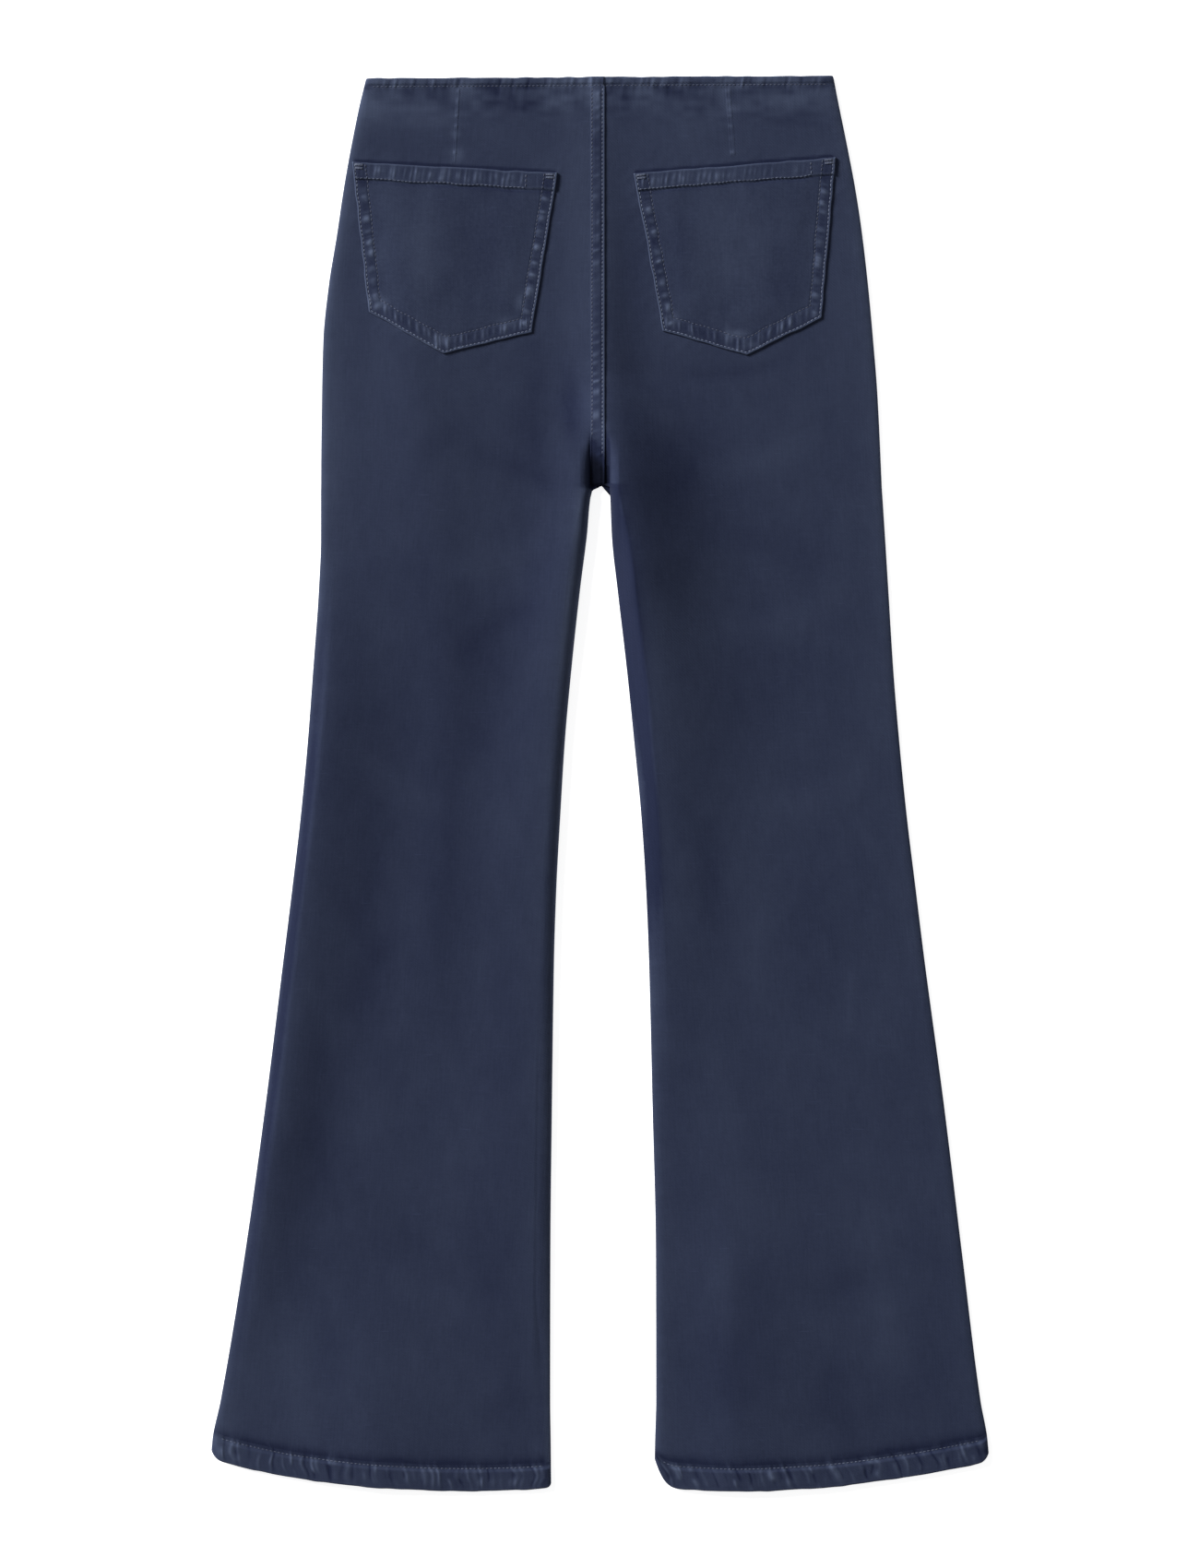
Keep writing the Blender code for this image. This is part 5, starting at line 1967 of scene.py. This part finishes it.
@dataclass
class Stitching:
    """Lines of lockstitch in one piece; every stitch is a copy of one small spindle."""

    name: str
    finish: Material
    waver: Waver | None = None   # where the cloth has pulled a place to, if it has
    pitch: float = 3.1 * MM
    length: float = 2.3 * MM
    thickness: float = 0.66 * MM
    points: list[Array] = field(default_factory=list)
    tones: list[Array] = field(default_factory=list)
    draw: np.random.Generator = field(default_factory=lambda: np.random.default_rng(7))
    fading: Unevenness = field(default_factory=lambda: Unevenness(98, 13, 13))

    _spindle: ClassVar[tuple[Array, list[list[int]]] | None] = None

    @classmethod
    def spindle(cls) -> tuple[Array, list[list[int]]]:
        """Model one stitch along x, the first time: a small sphere drawn out to a spindle with blunt ends.

        Returns:
            Its points, one long and one wide, and its faces.
        """
        if cls._spindle is None:
            bpy.ops.object.select_all(action="DESELECT")
            bpy.ops.mesh.primitive_uv_sphere_add(segments=6, ring_count=6, radius=0.5, location=(0, 0, 0))
            shape = bpy.context.object
            bpy.ops.object.mode_set(mode="EDIT")
            bpy.ops.mesh.select_all(action="SELECT")
            bpy.ops.transform.rotate(value=math.pi / 2, orient_axis="Y", center_override=(0, 0, 0))
            bpy.ops.object.mode_set(mode="OBJECT")
            coords = np.array([vertex.co[:] for vertex in shape.data.vertices])
            coords[:, 0] = np.sign(coords[:, 0]) * (2 * np.abs(coords[:, 0])) ** 0.8 / 2
            faces = [list(face.vertices) for face in shape.data.polygons]
            mesh = shape.data
            bpy.data.objects.remove(shape)
            bpy.data.meshes.remove(mesh)
            cls._spindle = (coords, faces)
        return cls._spindle

    def run(self, line: Array, surface: Surface, pitch: float | None = None, length: float | None = None,
            proud: float = 0.0, under: bool = False, tone: float = 0.6, patchy: float = 0.0) -> None:
        """Lay stitches along a line.

        Args:
            line: Corners of the line as rows of (x, drop).
            surface: Height of the cloth at x and drop.
            pitch: Distance between stitches, or the usual one.
            length: Length of a stitch, or the usual one.
            proud: Extra height.
            under: Whether the stitches hang under a surface.
            tone: How pale the thread has worn, from 0 to 1.
            patchy: How much that changes along the line.
        """
        pitch, length = pitch or self.pitch, length or self.length
        steps = np.hypot(*np.diff(line, axis=0).T)
        reach = np.concatenate([[0.0], np.cumsum(steps)])
        count = max(int(reach[-1] / pitch), 1)
        middles = (np.arange(count) + 0.5) * reach[-1] / count
        unit, _ = self.spindle()
        for middle in middles:
            along = np.clip(middle + unit[:, 0] * length, 0.0, reach[-1])
            x, drop = np.interp(along, reach, line[:, 0]), np.interp(along, reach, line[:, 1])
            k = min(int(np.searchsorted(reach, middle, side="right")) - 1, len(steps) - 1)
            heading = (line[k + 1] - line[k]) / steps[k]
            x = x - heading[1] * unit[:, 1] * self.thickness
            drop = drop + heading[0] * unit[:, 1] * self.thickness
            arch = 0.30 * self.thickness * (1 - (2 * unit[:, 0]) ** 2) + proud
            z = unit[:, 2] * self.thickness * 0.8
            height = surface(x, drop) + (z - arch - 0.12 * MM if under else z + arch)
            at = self.waver(x, drop) if self.waver else (x, drop)
            self.points.append(spread(*at, np.maximum(height, 0.0)))
            worn = tone * self.draw.uniform(0.6, 1.2) + patchy * float(self.fading(x, drop).mean())
            self.tones.append(np.full(len(unit), max(worn, 0.0)))

    def build(self) -> Piece:
        """Build all the stitches as one piece."""
        unit, pattern = self.spindle()
        faces = [[corner + len(unit) * k for corner in face] for k in range(len(self.points)) for face in pattern]
        grain = np.tile(unit[:, :2] * np.array([self.length, self.thickness]), (len(self.points), 1))
        mesh = ClothMesh(np.concatenate(self.points), faces, grain, np.concatenate(self.tones))
        return mesh.build(self.name, self.finish, "seam_denim")


@dataclass
class DartRidge(LegPiece):
    """Sewn dart as a fine ridge on the seat panel."""

    def build(self) -> Piece:
        """Build the ridge.

        Returns:
            The piece.
        """
        dart = DARTS[self.leg]
        off = np.linspace(-1, 1, 13)[None, :] * dart.half
        drop = np.linspace(dart.start, dart.end, 121)[:, None]
        x = dart.x_at(drop) + off
        drop = np.broadcast_to(drop, x.shape)
        rows = Rows(self.lie, self.leg, drop.ravel())
        inset = rows.inset_of(x.ravel()[:, None])
        ground = rows.height_at(inset).reshape(x.shape)
        ground = ground + self.relief.height(rows, x.reshape(inset.shape), drop.reshape(inset.shape),
                                             inset).reshape(x.shape)
        ridges = self.relief.dart_ripples(drop)
        profile = np.sqrt(np.clip(1 - (off / dart.half) ** 2, 0, 1))
        fade = rising(drop - dart.start, 0, 3) * rising(dart.end - drop, 0, 4)
        top = ground + 0.02 * MM + dart.proud * profile ** 1.5 * (0.45 + 0.55 * ridges) * fade
        top = top - 0.16 * MM * bell(off, -0.4, 0.3) * fade
        wear = self.relief.wash(x, drop) + (0.06 + 0.55 * ridges * profile) * fade
        mesh = thin_shell(spread(x, drop, top), spread(x, drop, ground - 0.1 * MM), weave(x, drop), wear, 4)
        return mesh.build(f"{self.leg.word}_dart", self.finishes.body, "denim")


@dataclass
class SideSeam(LegPiece):
    """Closed seam between the two sheets of a leg, a fine bead in the rolled edge."""

    at_side: bool
    radius: float = 0.55 * MM
    unevenness: float = 0.12 * MM
    inward: float = 0.75 * MM
    sunk: float = 0.15 * MM
    sides: int = 8

    def build(self) -> Piece:
        """Build the bead.

        Returns:
            The piece.
        """
        start = PANEL_TOP if self.at_side else FORK_DROP + 3 * MM
        rows = Rows(self.lie, self.leg, np.linspace(start, PANEL_BOTTOM, 420))
        edge = rows.width if self.at_side else np.zeros_like(rows.width)
        inset = edge + (-self.inward if self.at_side else self.inward)
        x, drop = rows.x_at(inset)[:, 0], rows.drop_at(inset)[:, 0]
        angles = np.arange(self.sides) * 2 * math.pi / self.sides
        radius = (self.radius + self.unevenness * Ripples(80, 0, 1080, 6.0)(drop))[:, None]
        ring = spread(x[:, None] + radius * np.cos(angles), np.repeat(drop[:, None], self.sides, axis=1),
                      SIDE_SEAM_HEIGHT - self.sunk + radius * np.sin(angles))
        index = np.arange(ring.shape[0] * self.sides).reshape(-1, self.sides)
        turned = np.roll(index, -1, axis=1)
        faces = np.stack([index[:-1], index[1:], turned[1:], turned[:-1]], axis=-1).reshape(-1, 4).tolist()
        faces += [index[0].tolist(), index[-1][::-1].tolist()]
        grain = np.stack([np.tile(angles * self.radius, len(x)), np.repeat(drop, self.sides)], axis=-1)
        mesh = ClothMesh(ring.reshape(-1, 3), faces, grain, np.full(len(grain), 0.1))
        where = "side" if self.at_side else "inseam"
        return mesh.build(f"{self.leg.word}_{where}_seam", self.finishes.body, "denim")


@dataclass
class Studio:
    """Pale floor, soft lights and the camera straight above."""

    field_height: float = 1.19
    lens: float = 100.0
    sensor: float = 36.0
    floor_half: float = 14.0
    floor_tone: float = 0.9
    floor_glow: float = 0.75
    sky: float = 0.17
    camera_x: float = -0.35 * MM
    camera_y: float = -0.35 * MM

    def build(self) -> None:
        """Set the floor, lights, world and camera."""
        self.floor()
        self.softbox("key_softbox", (-10.4, 7.2, 5.8), 4.7, 4000.0)
        self.softbox("fill_softbox", (1.6, -1.2, 7.0), 3.2, 50.0)
        world = bpy.data.worlds.new("studio")
        world.use_nodes = True
        background = world.node_tree.nodes["Background"]
        background.inputs["Color"].default_value = WHITE
        background.inputs["Strength"].default_value = self.sky
        bpy.context.scene.world = world
        bpy.context.scene.view_settings.view_transform = "Standard"
        self.camera()

    def floor(self) -> None:
        """Plain pale floor."""
        bpy.ops.object.select_all(action="DESELECT")
        bpy.ops.mesh.primitive_plane_add(size=2 * self.floor_half, location=(0, 0, 0))
        plane = bpy.context.object
        plane.name = "floor"
        plane.data.transform(Matrix.Translation((0, 0, -0.05 * MM)))
        made = bpy.data.materials.new("pale_floor")
        made.use_nodes = True
        shader = made.node_tree.nodes["Principled BSDF"]
        for name, value in (("Base Color", (self.floor_tone,) * 3 + (1.0,)), ("Roughness", 0.9),
                            ("Specular IOR Level", 0.0), ("Emission Color", WHITE),
                            ("Emission Strength", self.floor_glow)):
            shader.inputs[name].default_value = value
        plane.data.materials.append(made)
        plane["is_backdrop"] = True

    def softbox(self, name: str, place: tuple[float, float, float], size: float, watts: float) -> None:
        """Large soft light that faces the garment.

        Args:
            name: Name of the light.
            place: Where it stands.
            size: Its diameter.
            watts: Its power.
        """
        lamp = bpy.data.lights.new(name, "AREA")
        lamp.shape, lamp.size, lamp.energy = "DISK", size, watts
        light = bpy.data.objects.new(name, lamp)
        light.location = place
        light.rotation_euler = (-Vector(place)).to_track_quat("-Z", "Y").to_euler()
        bpy.context.scene.collection.objects.link(light)

    def camera(self) -> None:
        """Camera straight above, with the garment's top towards +Y."""
        lens = bpy.data.cameras.new("camera")
        lens.sensor_fit, lens.sensor_height, lens.lens = "VERTICAL", self.sensor, self.lens
        lens.clip_end = 50
        camera = bpy.data.objects.new("camera", lens)
        above = self.field_height * self.lens / self.sensor + SIDE_SEAM_HEIGHT
        camera.location = (self.camera_x, self.camera_y, above)
        bpy.context.scene.collection.objects.link(camera)
        bpy.context.scene.camera = camera


@dataclass
class Jeans:
    """The whole garment."""

    lie: Lie = field(default_factory=Lie)

    def build(self) -> None:
        """Build every sub-assembly."""
        makings = (self.lie, Relief(), Finishes())
        waist = TurnedEdge(*makings, "waist_turning", "waist_edge", tuple(Leg), WAIST_FORM, across=460).build()
        seam = CentreSeam(*makings).build()
        for leg in Leg:
            front, back = FrontPanel(*makings, leg).build(), BackPanel(*makings, leg).build()
            patch = PatchPocket(*makings, leg).build()
            hem = TurnedEdge(*makings, f"{leg.word}_leg_hem", f"hem_{leg.word}", (leg,), HEM_FORM).build()
            dart = DartRidge(*makings, leg).build()
            for at_side in (True, False):
                SideSeam(*makings, leg, at_side).build()
            extra = [*waist, *seam] if leg is Leg.LEFT else []
            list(hem)
            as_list(patch[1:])


def corners(box: object) -> list[list[float]]:
    """Plain numbers of a box."""
    return [[float(value) for value in corner] for corner in box]


def main() -> None:
    """Load the frame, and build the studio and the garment."""
    logging.basicConfig(level=logging.INFO, format="%(name)s: %(message)s")
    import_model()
    cad_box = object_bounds()
    Studio().build()
    Jeans().build()
    {"cad": corners(cad_box), "visual": corners(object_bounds())}


if __name__ == "__main__":
    main()
